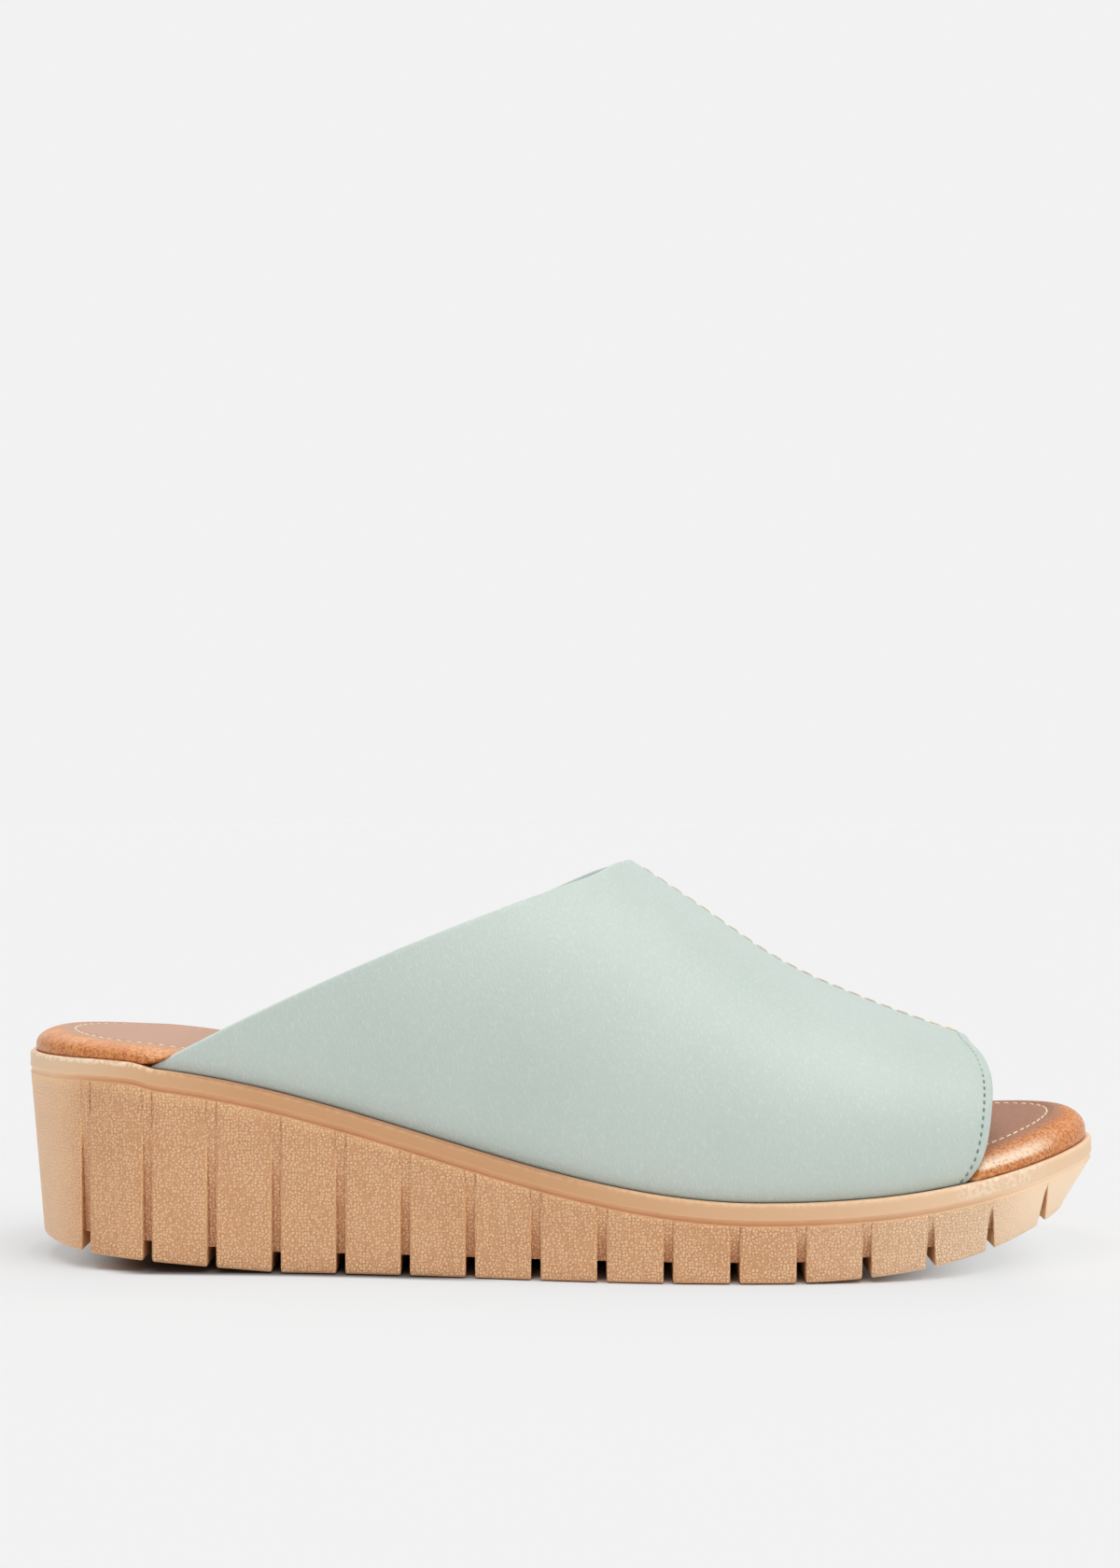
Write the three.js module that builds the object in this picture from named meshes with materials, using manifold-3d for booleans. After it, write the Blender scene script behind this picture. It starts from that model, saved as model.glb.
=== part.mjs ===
// A platform slide sandal for the right foot: one moulded wedge sole with ribbed sides and
// lugs, a padded footbed lying in its rim, and a closed leather upper, open at the instep,
// the heel and the toes. Millimetres, +X from heel to toe, +Y to the big-toe side, +Z up.
import * as THREE from "three";
import { mergeVertices } from "three/addons/utils/BufferGeometryUtils.js";
import Module from "manifold-3d";

const wasm = await Module();
wasm.setup();

// Sole: overall sizes
const SOLE_LENGTH = 259.6;
const BALL_WIDTH = 98;
const HEEL_SEAT_RISE = 48.2; // the seat, where upper and rim meet, above the floor
const TREAD_RISE = 18.2; // the same at the ball of the foot
const TOE_SEAT_RISE = 27.9; // the same at the toe tip
const SLOPE_FROM = 17; // the seat falls from here, behind the toe end of the heel
const SLOPE_TO = 175; // and is at its lowest from here
const FLAT_FROM = 64; // the tread lies flat on the floor between these two
const FLAT_TO = 178;
const HEEL_LIFT = 5.4; // the tread's rise at the heel's back edge
const TOE_SPRING = 12.6; // and at the toe tip
const HEEL_LIFT_CURVE = 1.15; // exponents of the two rises
const TOE_SPRING_CURVE = 2;

// Sole: outline ends
const HEEL_ROUND = 33; // length of the heel's rounding, from above
const TOE_ROUND = 62; // length of the toe's rounding
const HEEL_FULLNESS = 2.1; // exponents of the two roundings
const TOE_FULLNESS = 2.2;
const TOE_DRIFT = 4; // how far the toe tip stands towards the big toe

// Sole: rim, ledge, wall and lugs
const RIM_WALL = 2.4;
const RIM_BAND = 3.7; // height of the smooth band below the rim's edge
const HEEL_LIP = 1; // the rim stands this much higher round the heel
const HEEL_LIP_RUN = 7; // length over which it comes down to the upper
const CAVITY_DEPTH = 3;
const LEDGE_HEIGHT = 1.5;
const LEDGE_DEPTH = 0.8;
const LEDGE_CORNER = 0.3; // slope of its two corners
const SIDE_BATTER = 0.6; // how far the wall leans in towards the floor, at the sides
const HEEL_BATTER = 2.6; // and how much more at the heel's back
const TOE_BATTER = 6; // and at the toe tip
const HEEL_BATTER_RUN = 20; // lengths over which the two fade into the sides
const TOE_BATTER_RUN = 43;
const TREAD_EDGE = 1.2; // rounding between wall and tread
const LUG_PITCH = 15.1;
const FIRST_SLOT = 17.9; // from the heel's back edge
const SLOT_COUNT = 16;
const SLOT_WIDTH = 2.2;
const SLOT_DEPTH = 4.5;
const RIB_DEPTH = 2.4; // depth of a side groove where it meets its slot
const RIB_TOP_WIDTH = 2.5; // width of a side groove where it runs out below the ledge

// Footbed
const FIT_GAP = 0.35; // between neighbouring pieces
const FOOTBED_HEEL_RISE = 5; // its top above the seat
const FOOTBED_TOE_RISE = 11.1;
const FOOTBED_TOE_FALL = 5.8; // it slopes down by this to the little-toe side there
const FOOTBED_RISE_FROM = 130; // it thickens from here
const FOOTBED_RISE_TO = 246; // to here
const FOOTBED_HEEL_CUP = 2; // the back edge stands this much higher
const FOOTBED_CUP_RUN = 26;
const SEAM_INSET = 12; // the footbed is level inside this distance from the outline
const ROLL_OVERHANG = 1; // its padded edge swells out over the rim
const ROLL_BELLY = 1.4; // height of the swell's widest line above the rim
const ROLL_FULLNESS = 2.2; // exponent of the edge's roll

// Upper
const UPPER_WALL = 2;
const UPPER_BACK_LATERAL = 33; // where each side's top line leaves the rim
const UPPER_BACK_MEDIAL = 38;
const UPPER_FRONT = SOLE_LENGTH - 35.8; // where the toe opening meets the rim
const APEX_X = 145.4; // the top line's highest point, on the instep
const APEX_RISE = 94.8;
const OPENING_X = SOLE_LENGTH - 30.2; // the toe opening's middle
const OPENING_RISE = 50.9;
const RIDGE_DRIFT = 2.5; // the instep line stands towards the big toe
const TOP_LINE_CROWN_LATERAL = 3.4; // how far the top line bows up
const TOP_LINE_CROWN_MEDIAL = 0.2;
const OPENING_CROWN = 3.7; // how far the toe opening's sides stand forwards of its ends
const OPENING_CROWN_FULLNESS = 4; // exponent of that bow
const SIDE_SWELL = 1.4; // how far the sides swell out over the rim
const INSTEP_FULLNESS = 2; // exponent of the arch at the top line
const OPENING_FULLNESS = 2.7; // and at the toe opening
const LAP_HEIGHT = 0.8; // the outer panel lies this much over the inner panel
const LAP_EDGE = 3.4; // its edge, past the instep line
const LAP_EDGE_WIDTH = 0.3;
const LAP_RAMP = 9; // the outer panel starts to climb this far before the line

// Facets
const HEEL_STEPS = 10; // outline steps on each side, heel tip to the upper
const SIDE_STEPS = 30; // beside the upper
const TOE_STEPS = 10; // from the upper to the toe tip
const CORNER_STEPS = 2; // where the footbed narrows, at each end of the upper
const UPPER_STEPS = 30;
const ARCH_STEPS = 11; // steps on each side of the arch, below the seam
const FINE_STEPS = 1200;

// Half widths of the sole before its ends are rounded, as shares of half the ball width
const OUTLINE = [
  { at: 0.0, lateral: 0.63, medial: 0.63 },
  { at: 0.08, lateral: 0.66, medial: 0.66 },
  { at: 0.15, lateral: 0.694, medial: 0.694 },
  { at: 0.23, lateral: 0.714, medial: 0.7 },
  { at: 0.31, lateral: 0.755, medial: 0.69 },
  { at: 0.4, lateral: 0.829, medial: 0.714 },
  { at: 0.48, lateral: 0.906, medial: 0.784 },
  { at: 0.56, lateral: 0.971, medial: 0.888 },
  { at: 0.64, lateral: 1.0, medial: 0.971 },
  { at: 0.7, lateral: 0.996, medial: 1.0 },
  { at: 0.76, lateral: 0.963, medial: 1.0 },
  { at: 0.82, lateral: 0.908, medial: 0.965 },
  { at: 0.9, lateral: 0.8, medial: 0.88 },
  { at: 1.0, lateral: 0.61, medial: 0.73 },
];

// Fall of the instep line, from the top line to the toe opening, as shares of its length
// and of its whole fall
const INSTEP_LINE = [
  { at: 0.0, fall: 0.0 },
  { at: 0.2, fall: 0.256 },
  { at: 0.4, fall: 0.521 },
  { at: 0.5, fall: 0.629 },
  { at: 0.6, fall: 0.717 },
  { at: 0.8, fall: 0.869 },
  { at: 1.0, fall: 1.0 },
];

const LATERAL = -1;
const MEDIAL = 1;
const clamp01 = (t) => Math.min(1, Math.max(0, t));
const mix = (a, b, t) => a + (b - a) * t;
const ease = (from, to, x) => {
  const t = clamp01((x - from) / (to - from));
  return t * t * (3 - 2 * t);
};

// A smooth curve through one column of a table, by Catmull and Rom's cubic
function through(table, column, at) {
  let i = 0;
  while (i < table.length - 2 && at > table[i + 1].at) i += 1;
  const row = (k) => table[Math.min(table.length - 1, Math.max(0, k))];
  const slope = (k) =>
    (row(k + 1)[column] - row(k - 1)[column]) / (row(k + 1).at - row(k - 1).at);
  const span = row(i + 1).at - row(i).at;
  const t = (at - row(i).at) / span;
  const start = row(i)[column];
  const end = row(i + 1)[column];
  return (
    start * (1 + 2 * t) * (1 - t) ** 2 +
    slope(i) * span * t * (1 - t) ** 2 +
    end * t * t * (3 - 2 * t) +
    slope(i + 1) * span * t * t * (t - 1)
  );
}

// Rounding of an end: 0 at its tip, 1 from `length` on, along a superellipse
function endRound(distance, length, fullness) {
  const t = clamp01(distance / length);
  return (1 - (1 - t) ** fullness) ** (1 / fullness);
}

// Y of the sole's outline at x, on one side
function outlineY(x, side) {
  const column = side === LATERAL ? "lateral" : "medial";
  const half = (through(OUTLINE, column, x / SOLE_LENGTH) * BALL_WIDTH) / 2;
  const round =
    endRound(x, HEEL_ROUND, HEEL_FULLNESS) *
    endRound(SOLE_LENGTH - x, TOE_ROUND, TOE_FULLNESS);
  const tip = x > SOLE_LENGTH / 2 ? TOE_DRIFT : 0;
  return mix(tip, side * half, round);
}

// Y at x of the line that runs inside the outline at a true distance from it: the outline
// point across from it is found by stepping back along the slope
function insetY(x, side, inset) {
  const step = 0.5;
  const turns = 8;
  let from = x;
  let cosine = 1;
  for (let k = 0; k < turns; k += 1) {
    const slope = (outlineY(from + step, side) - outlineY(from - step, side)) / (2 * step);
    cosine = 1 / Math.hypot(1, slope);
    from = x - side * inset * slope * cosine;
  }
  return outlineY(from, side) - side * inset * cosine;
}

// Heights along the sandal
const seatZ = (x) =>
  mix(HEEL_SEAT_RISE, TREAD_RISE, ease(SLOPE_FROM, SLOPE_TO, x)) +
  (TOE_SEAT_RISE - TREAD_RISE) *
    clamp01((x - FLAT_TO) / (SOLE_LENGTH - FLAT_TO)) ** 2;
const lipEnd = UPPER_BACK_LATERAL + RIM_WALL;
const rimZ = (x) => seatZ(x) + HEEL_LIP * (1 - ease(lipEnd - HEEL_LIP_RUN, lipEnd, x));
const floorZ = (x) => seatZ(x) - CAVITY_DEPTH;
const treadZ = (x) =>
  HEEL_LIFT * clamp01((FLAT_FROM - x) / FLAT_FROM) ** HEEL_LIFT_CURVE +
  TOE_SPRING * clamp01((x - FLAT_TO) / (SOLE_LENGTH - FLAT_TO)) ** TOE_SPRING_CURVE;
function footbedZ(x, y) {
  const toeShare = ease(FOOTBED_RISE_FROM, FOOTBED_RISE_TO, x);
  const half = BALL_WIDTH / 2 - SEAM_INSET;
  const fall = FOOTBED_TOE_FALL * toeShare * clamp01((half - y) / (2 * half));
  const cup = FOOTBED_HEEL_CUP * (1 - ease(0, FOOTBED_CUP_RUN, x));
  return seatZ(x) + mix(FOOTBED_HEEL_RISE, FOOTBED_TOE_RISE, toeShare) - fall + cup;
}

// The footbed is narrower beside the upper, and widens to the rim past each of its ends
const FOOTBED_STEP = 5; // length over which it widens
const FOOTBED_STEP_GAP = 1; // from the upper's edge to where it starts
const openingFront = mix(UPPER_FRONT, OPENING_X, 0.5) + OPENING_CROWN + FOOTBED_STEP_GAP;
const upperBack = (side) => (side === LATERAL ? UPPER_BACK_LATERAL : UPPER_BACK_MEDIAL);
function besideUpper(x, side) {
  const back = upperBack(side) - FOOTBED_STEP_GAP;
  const wide = ease(openingFront, openingFront + FOOTBED_STEP, x);
  return ease(back - FOOTBED_STEP, back, x) * (1 - wide);
}

// The outline as a closed ring of points and inward normals: heel tip first, then the
// lateral side, the toe tip and the medial side back to the heel. The points are evenly
// spaced along each stretch, and the stretches end where the footbed changes its width
const STRETCHES = [
  { steps: HEEL_STEPS, end: (side) => upperBack(side) - FOOTBED_STEP_GAP - FOOTBED_STEP },
  { steps: CORNER_STEPS, end: (side) => upperBack(side) - FOOTBED_STEP_GAP },
  { steps: SIDE_STEPS, end: () => openingFront },
  { steps: CORNER_STEPS, end: () => openingFront + FOOTBED_STEP },
  { steps: TOE_STEPS, end: () => SOLE_LENGTH },
];
const STATIONS = STRETCHES.reduce((sum, { steps }) => sum + steps, 0);
function outlineRing() {
  const stretchPoints = (side, from, to, steps) => {
    const fine = Array.from({ length: FINE_STEPS + 1 }, (_, k) => {
      const x = mix(from, to, (1 - Math.cos((Math.PI * k) / FINE_STEPS)) / 2);
      return new THREE.Vector2(x, outlineY(x, side));
    });
    const lengths = [0];
    for (let k = 1; k < fine.length; k += 1)
      lengths.push(lengths[k - 1] + fine[k].distanceTo(fine[k - 1]));
    const even = [];
    let k = 1;
    for (let i = 1; i <= steps; i += 1) {
      const target = (lengths[FINE_STEPS] * i) / steps;
      while (k < FINE_STEPS && lengths[k] < target) k += 1;
      const t = clamp01((target - lengths[k - 1]) / (lengths[k] - lengths[k - 1]));
      even.push(fine[k - 1].clone().lerp(fine[k], t));
    }
    return even;
  };
  const sidePoints = (side) => {
    const points = [new THREE.Vector2(0, outlineY(0, side))];
    for (const { steps, end } of STRETCHES)
      points.push(...stretchPoints(side, points.at(-1).x, end(side), steps));
    return points;
  };
  const points = [
    ...sidePoints(LATERAL),
    ...sidePoints(MEDIAL).slice(1, -1).reverse(),
  ];
  const count = points.length;
  return points.map((point, i) => {
    const along = points[(i + 1) % count].clone().sub(points[(i + count - 1) % count]);
    const inward = new THREE.Vector2(-along.y, along.x).normalize();
    return { point, inward };
  });
}
const ring = outlineRing();
const sideOf = (i) => (i <= STATIONS ? LATERAL : MEDIAL);

// One ring of points: each outline point moved inwards, its height taken from its new place
function level(insetAt, heightAt) {
  return ring.map(({ point, inward }, i) => {
    const inset = insetAt(point.x, sideOf(i));
    const moved = point.clone().addScaledVector(inward, inset);
    return new THREE.Vector3(moved.x, moved.y, heightAt(moved.x, moved.y));
  });
}

// A closed geometry from rings stacked from the bottom up: walls between them, and both
// ends closed by strips laid from side to side
function ringSolid(levels) {
  const count = ring.length;
  const positions = levels.flat().flatMap((p) => [p.x, p.y, p.z]);
  const faces = [];
  for (let j = 0; j + 1 < levels.length; j += 1)
    for (let i = 0; i < count; i += 1) {
      const next = (i + 1) % count;
      const [a, b] = [j * count + i, j * count + next];
      const [c, d] = [b + count, a + count];
      faces.push(a, b, c, a, c, d);
    }
  const cap = (base, upwards) => {
    for (let i = 0; i < STATIONS; i += 1) {
      const corners = [i, i + 1, (count - i - 1) % count, (count - i) % count];
      const [a, b, c, d] = corners.map((k) => base + k);
      const strips = [[a, b, c]];
      if (a !== d) strips.push([a, c, d]);
      for (const [p, q, r] of strips)
        if (p !== q && q !== r && r !== p) faces.push(...(upwards ? [p, q, r] : [p, r, q]));
    }
  };
  cap(0, false);
  cap((levels.length - 1) * count, true);
  return new THREE.BufferGeometry()
    .setAttribute("position", new THREE.Float32BufferAttribute(positions, 3))
    .setIndex(faces);
}

function toManifold(geometry) {
  const bare = geometry.clone();
  bare.deleteAttribute("normal");
  bare.deleteAttribute("uv");
  const merged = mergeVertices(bare, 1e-4);
  return new wasm.Manifold(
    new wasm.Mesh({
      numProp: 3,
      vertProperties: new Float32Array(merged.attributes.position.array),
      triVerts: new Uint32Array(merged.index.array),
    }),
  );
}

function fromManifold(solid) {
  const { vertProperties, triVerts } = solid.getMesh();
  return new THREE.BufferGeometry()
    .setAttribute("position", new THREE.BufferAttribute(vertProperties, 3))
    .setIndex(new THREE.BufferAttribute(triVerts, 1));
}

// Sole: how far its wall stands inside the outline, from the ledge (down = 0) to the tread
const wallTopZ = (x) => rimZ(x) - RIM_BAND - LEDGE_HEIGHT;
function wallInset(x, down) {
  const heelShare = 1 - ease(0, HEEL_BATTER_RUN, x);
  const toeShare = ease(SOLE_LENGTH - TOE_BATTER_RUN, SOLE_LENGTH, x);
  const lean = SIDE_BATTER + HEEL_BATTER * heelShare + TOE_BATTER * toeShare;
  return LEDGE_CORNER / 2 + lean * down;
}

function makeSole() {
  const wallSteps = [1, 0.75, 0.5, 0.25, 0];
  const onWall = (down) =>
    level(
      (x) => wallInset(x, down),
      (x) => mix(wallTopZ(x), treadZ(x) + TREAD_EDGE, down),
    );
  const plain = (inset, height) => level(() => inset, height);
  const body = ringSolid([
    level((x) => wallInset(x, 1) + TREAD_EDGE, treadZ),
    level(
      (x) => wallInset(x, 1) + TREAD_EDGE * 0.3,
      (x) => treadZ(x) + TREAD_EDGE * 0.3,
    ),
    ...wallSteps.map(onWall),
    plain(LEDGE_DEPTH, (x) => wallTopZ(x) + LEDGE_CORNER),
    plain(LEDGE_DEPTH, (x) => rimZ(x) - RIM_BAND - LEDGE_CORNER),
    plain(0, (x) => rimZ(x) - RIM_BAND),
    plain(0, (x) => rimZ(x) - RIM_BAND / 3),
    plain(RIM_WALL / 4, rimZ),
    plain(RIM_WALL, rimZ),
    plain(RIM_WALL, floorZ),
  ]);
  let sole = toManifold(body);
  for (const cutter of treadCutters()) sole = sole.subtract(toManifold(cutter));
  return fromManifold(sole);
}

// A box given by its eight corners: four at one x, four at the other, each listed from
// the outer foot round to the outer top
function cornerBox(near, far) {
  const positions = [...near, ...far].flatMap((p) => [p.x, p.y, p.z]);
  const quads = [
    [0, 1, 2, 3],
    [7, 6, 5, 4],
    [0, 4, 5, 1],
    [1, 5, 6, 2],
    [2, 6, 7, 3],
    [3, 7, 4, 0],
  ];
  const faces = quads.flatMap(([a, b, c, d]) => [a, b, c, a, c, d]);
  return new THREE.BufferGeometry()
    .setAttribute("position", new THREE.Float32BufferAttribute(positions, 3))
    .setIndex(faces);
}

// Every slot across the tread, and the tapering groove that runs up each side from it
function treadCutters() {
  const reach = BALL_WIDTH;
  const cutters = [];
  for (let k = 0; k < SLOT_COUNT; k += 1) {
    const middle = FIRST_SLOT + LUG_PITCH * k;
    const ceiling = treadZ(middle) + SLOT_DEPTH;
    const slot = new THREE.BoxGeometry(SLOT_WIDTH, 2 * reach, 2 * ceiling);
    cutters.push(slot.translate(middle, 0, 0));
    for (const side of [LATERAL, MEDIAL]) {
      const face = (end) => {
        const footX = middle + (end * SLOT_WIDTH) / 2;
        const headX = middle + (end * RIB_TOP_WIDTH) / 2;
        const foot = ceiling - SLOT_DEPTH / 2;
        const head = wallTopZ(headX) - LEDGE_CORNER;
        const outer = side * reach;
        const footY = insetY(footX, side, wallInset(footX, 1) + RIB_DEPTH);
        const headY = insetY(headX, side, wallInset(headX, 0) - LEDGE_CORNER / 2);
        return [
          new THREE.Vector3(footX, outer, foot),
          new THREE.Vector3(footX, footY, foot),
          new THREE.Vector3(headX, headY, head),
          new THREE.Vector3(headX, outer, head),
        ];
      };
      const [back, front] = [face(-1), face(1)];
      cutters.push(side === LATERAL ? cornerBox(front, back) : cornerBox(back, front));
    }
  }
  return cutters;
}

// Footbed: how far inside the outline it stands in the rim. Beside the upper it leaves
// room for the upper's wall
const rimClear = RIM_WALL + FIT_GAP;

const ROLL_SHARES = [0.25, 0.45, 0.65, 0.82, 1]; // stops round the edge's quarter turn
function makeFootbed() {
  const side = (x, s) => rimClear + (UPPER_WALL + FIT_GAP) * besideUpper(x, s);
  const swollen = (x, s) => side(x, s) - (ROLL_OVERHANG + FIT_GAP) * (1 - besideUpper(x, s));
  const footZ = (x) => floorZ(x) + FIT_GAP;
  const swellZ = (x) => rimZ(x) + ROLL_BELLY;
  const rollAngles = ROLL_SHARES.map((t) => (t * Math.PI) / 2);
  const power = 2 / ROLL_FULLNESS;
  const roll = (angle) =>
    level(
      (x, s) => mix(SEAM_INSET, swollen(x, s), Math.cos(angle) ** power),
      (x, y) => mix(swellZ(x), footbedZ(x, y), Math.sin(angle) ** power),
    );
  return ringSolid([
    level(side, footZ),
    level(side, (x) => rimZ(x) + FIT_GAP),
    level(swollen, swellZ),
    ...rollAngles.map(roll),
  ]);
}

// Upper: a point of its outer face. `share` runs from the top line to the toe opening,
// `angle` from the rim (0) to the instep line (a quarter turn) on one side
const outerInset = RIM_WALL + FIT_GAP;
const ridgeZ = (share) => mix(APEX_RISE, OPENING_RISE, through(INSTEP_LINE, "fall", share));
const fullness = (share) => mix(INSTEP_FULLNESS, OPENING_FULLNESS, share);
function upperPoint(share, side, angle) {
  const lateral = side === LATERAL;
  const crown = lateral ? TOP_LINE_CROWN_LATERAL : TOP_LINE_CROWN_MEDIAL;
  const footX = mix(upperBack(side), UPPER_FRONT, share);
  const ridgeX = mix(APEX_X, OPENING_X, share);
  const power = 2 / fullness(share);
  const rise = Math.sin(angle) ** power;
  const spread = Math.cos(angle) ** power;
  const bow = 1 - Math.abs(2 * rise - 1) ** OPENING_CROWN_FULLNESS;
  const x = mix(footX, ridgeX, rise) + OPENING_CROWN * share * bow;
  const z =
    mix(seatZ(footX), ridgeZ(share), rise) + crown * (1 - share) * 4 * rise * (1 - rise);
  const swell = side * SIDE_SWELL * Math.sin(Math.PI * rise) * spread;
  const y = mix(RIDGE_DRIFT, insetY(x, side, outerInset), spread) + swell;
  return new THREE.Vector3(x, y, z);
}

// The angle at which the arch stands a given distance to the side of the instep line
function angleBeside(share, side, distance) {
  const halfWidth = Math.abs(insetY(mix(APEX_X, OPENING_X, share), side, outerInset) - RIDGE_DRIFT);
  return Math.acos((distance / halfWidth) ** (fullness(share) / 2));
}

// One rib of the upper, from the lateral foot over the instep to the medial foot. Each
// stop has its point and how far the outer panel's lap raises the face there
function upperRib(share) {
  const stops = [];
  const addFoot = (side) => {
    const seat = upperPoint(share, side, 0);
    const foot = seat.clone().setZ(floorZ(seat.x) + FIT_GAP);
    return [foot, seat].map((point) => ({ point, lap: 0 }));
  };
  const addSide = (side, reach) => {
    const last = angleBeside(share, side, reach);
    return Array.from({ length: ARCH_STEPS }, (_, k) => ({
      point: upperPoint(share, side, (last * (k + 1)) / ARCH_STEPS),
      lap: 0,
    }));
  };
  const beside = (side, distance, lap) => ({
    point: upperPoint(share, side, angleBeside(share, side, distance)),
    lap,
  });
  stops.push(...addFoot(LATERAL), ...addSide(LATERAL, LAP_RAMP));
  stops.push(beside(LATERAL, LAP_RAMP / 2, LAP_HEIGHT / 2));
  stops.push(beside(LATERAL, 0, LAP_HEIGHT));
  stops.push(beside(MEDIAL, LAP_EDGE, LAP_HEIGHT));
  stops.push(beside(MEDIAL, LAP_EDGE + LAP_EDGE_WIDTH, 0));
  stops.push(...addSide(MEDIAL, LAP_RAMP).reverse(), ...addFoot(MEDIAL).reverse());
  return stops;
}

function makeUpper() {
  const step = 0.002;
  const outer = [];
  const inner = [];
  let last = 0;
  for (let i = 0; i <= UPPER_STEPS; i += 1) {
    const share = i / UPPER_STEPS;
    const rib = upperRib(share);
    const [before, after] = [upperRib(share - step), upperRib(share + step)];
    last = rib.length - 1;
    rib.forEach(({ point, lap }, j) => {
      const along = after[j].point.clone().sub(before[j].point);
      const across = rib[Math.min(j + 1, last)].point.clone();
      across.sub(rib[Math.max(j - 1, 0)].point);
      const normal = along.cross(across).normalize();
      const atFoot = j < 2 || j > last - 2;
      if (atFoot) normal.setZ(0).normalize();
      outer.push(point.clone().addScaledVector(normal, lap));
      inner.push(point.clone().addScaledVector(normal, -UPPER_WALL));
    });
  }
  return shell(outer, inner, UPPER_STEPS, last);
}

// A wall between two grids of points, closed along its four edges
function shell(outer, inner, rows, columns) {
  const stride = columns + 1;
  const offset = outer.length;
  const positions = [...outer, ...inner].flatMap((p) => [p.x, p.y, p.z]);
  const faces = [];
  const quad = (a, b, c, d) => faces.push(a, b, c, a, c, d);
  for (let i = 0; i < rows; i += 1)
    for (let j = 0; j < columns; j += 1) {
      const a = i * stride + j;
      const [b, c, d] = [a + stride, a + stride + 1, a + 1];
      quad(a, b, c, d);
      quad(offset + a, offset + d, offset + c, offset + b);
    }
  for (let i = 0; i < rows; i += 1) {
    const [a, b] = [i * stride, (i + 1) * stride];
    quad(b, a, offset + a, offset + b);
    quad(a + columns, b + columns, offset + b + columns, offset + a + columns);
  }
  for (let j = 0; j < columns; j += 1) {
    const a = rows * stride + j;
    quad(j, j + 1, offset + j + 1, offset + j);
    quad(a + 1, a, offset + a, offset + a + 1);
  }
  return new THREE.BufferGeometry()
    .setAttribute("position", new THREE.Float32BufferAttribute(positions, 3))
    .setIndex(faces);
}

function piece(name, geometry, color, roughness) {
  geometry.computeVertexNormals();
  const material = new THREE.MeshStandardMaterial({ color, roughness, metalness: 0 });
  const mesh = new THREE.Mesh(geometry, material);
  mesh.name = name;
  return mesh;
}

// The assembly, with its origin on the floor, under the middle of its bounding box
const sandal = new THREE.Group();
sandal.add(piece("sole", makeSole(), 0xd3a377, 0.7));
sandal.add(piece("footbed", makeFootbed(), 0xa9683c, 0.4));
sandal.add(piece("upper", makeUpper(), 0xc3d2ca, 0.5));
const bounds = new THREE.Box3().setFromObject(sandal, true);
const middle = bounds.getCenter(new THREE.Vector3());
sandal.position.set(-middle.x, -middle.y, -bounds.min.z);

export default sandal;
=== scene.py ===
import math

import bpy
import numpy as np
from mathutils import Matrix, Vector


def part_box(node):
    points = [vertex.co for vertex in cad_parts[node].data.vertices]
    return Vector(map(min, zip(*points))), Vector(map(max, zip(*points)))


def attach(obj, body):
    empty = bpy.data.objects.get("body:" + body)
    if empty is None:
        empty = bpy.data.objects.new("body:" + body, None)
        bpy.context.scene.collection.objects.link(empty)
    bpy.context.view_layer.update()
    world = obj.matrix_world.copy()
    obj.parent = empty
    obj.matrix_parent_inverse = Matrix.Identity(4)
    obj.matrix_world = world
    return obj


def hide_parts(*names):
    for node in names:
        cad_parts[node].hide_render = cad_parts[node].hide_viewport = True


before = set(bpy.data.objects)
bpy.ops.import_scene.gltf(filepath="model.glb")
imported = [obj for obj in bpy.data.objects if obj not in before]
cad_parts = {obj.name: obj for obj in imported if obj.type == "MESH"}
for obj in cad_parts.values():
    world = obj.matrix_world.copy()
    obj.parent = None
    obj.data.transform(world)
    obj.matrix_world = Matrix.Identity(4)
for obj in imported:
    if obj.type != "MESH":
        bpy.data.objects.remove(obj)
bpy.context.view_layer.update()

# Camera. Level, on the sandal's outer side and a little above its instep, with a long lens,
# so that the whole sandal shows from heel to toe, low in a tall frame. Metres.
CAMERA_PLACE = (-0.00066, -0.650, 0.1136)
LENS_MM = 60.857
SENSOR_MM = 36.0
camera_lens = bpy.data.cameras.new("camera")
camera_lens.lens = LENS_MM
camera_lens.sensor_width = SENSOR_MM
camera = bpy.data.objects.new("camera", camera_lens)
camera.location = CAMERA_PLACE
camera.rotation_euler = (math.radians(90), 0, 0)
bpy.context.scene.collection.objects.link(camera)
bpy.context.scene.camera = camera

# Sole unit. One moulded wedge of foamed rubber, from heel to toe: a smooth rim band over a
# ledge, a pebbled wall with a groove above each slot, and lugs across the tread. It leaves
# the mould in one piece, so rim, wall and lugs are one skin. Sizes here are in millimetres.
MM = 0.001
SOLE_LENGTH = 259.6
BALL_WIDTH = 98.0
HEEL_SEAT_RISE = 48.2
TREAD_RISE = 18.2
TOE_SEAT_RISE = 27.9
SLOPE_FROM = 17.0
SLOPE_TO = 175.0
FLAT_FROM = 64.0
FLAT_TO = 178.0
HEEL_LIFT = 5.4
TOE_SPRING = 12.6
HEEL_LIFT_CURVE = 1.15
TOE_SPRING_CURVE = 2.0
HEEL_ROUND = 33.0
TOE_ROUND = 62.0
HEEL_FULLNESS = 2.1
TOE_FULLNESS = 2.2
TOE_DRIFT = 4.0
RIM_WALL = 2.4
RIM_BAND = 3.7
RIM_EDGE = 1.1  # rounding of the rim's upper edge
HEEL_LIP = 1.0
HEEL_LIP_RUN = 7.0
CAVITY_DEPTH = 3.0
LEDGE_HEIGHT = 1.5
LEDGE_DEPTH = 0.8
LEDGE_END_SHARE = 0.3  # what is left of the ledge's depth round heel and toe
SIDE_BATTER = 0.6
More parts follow.
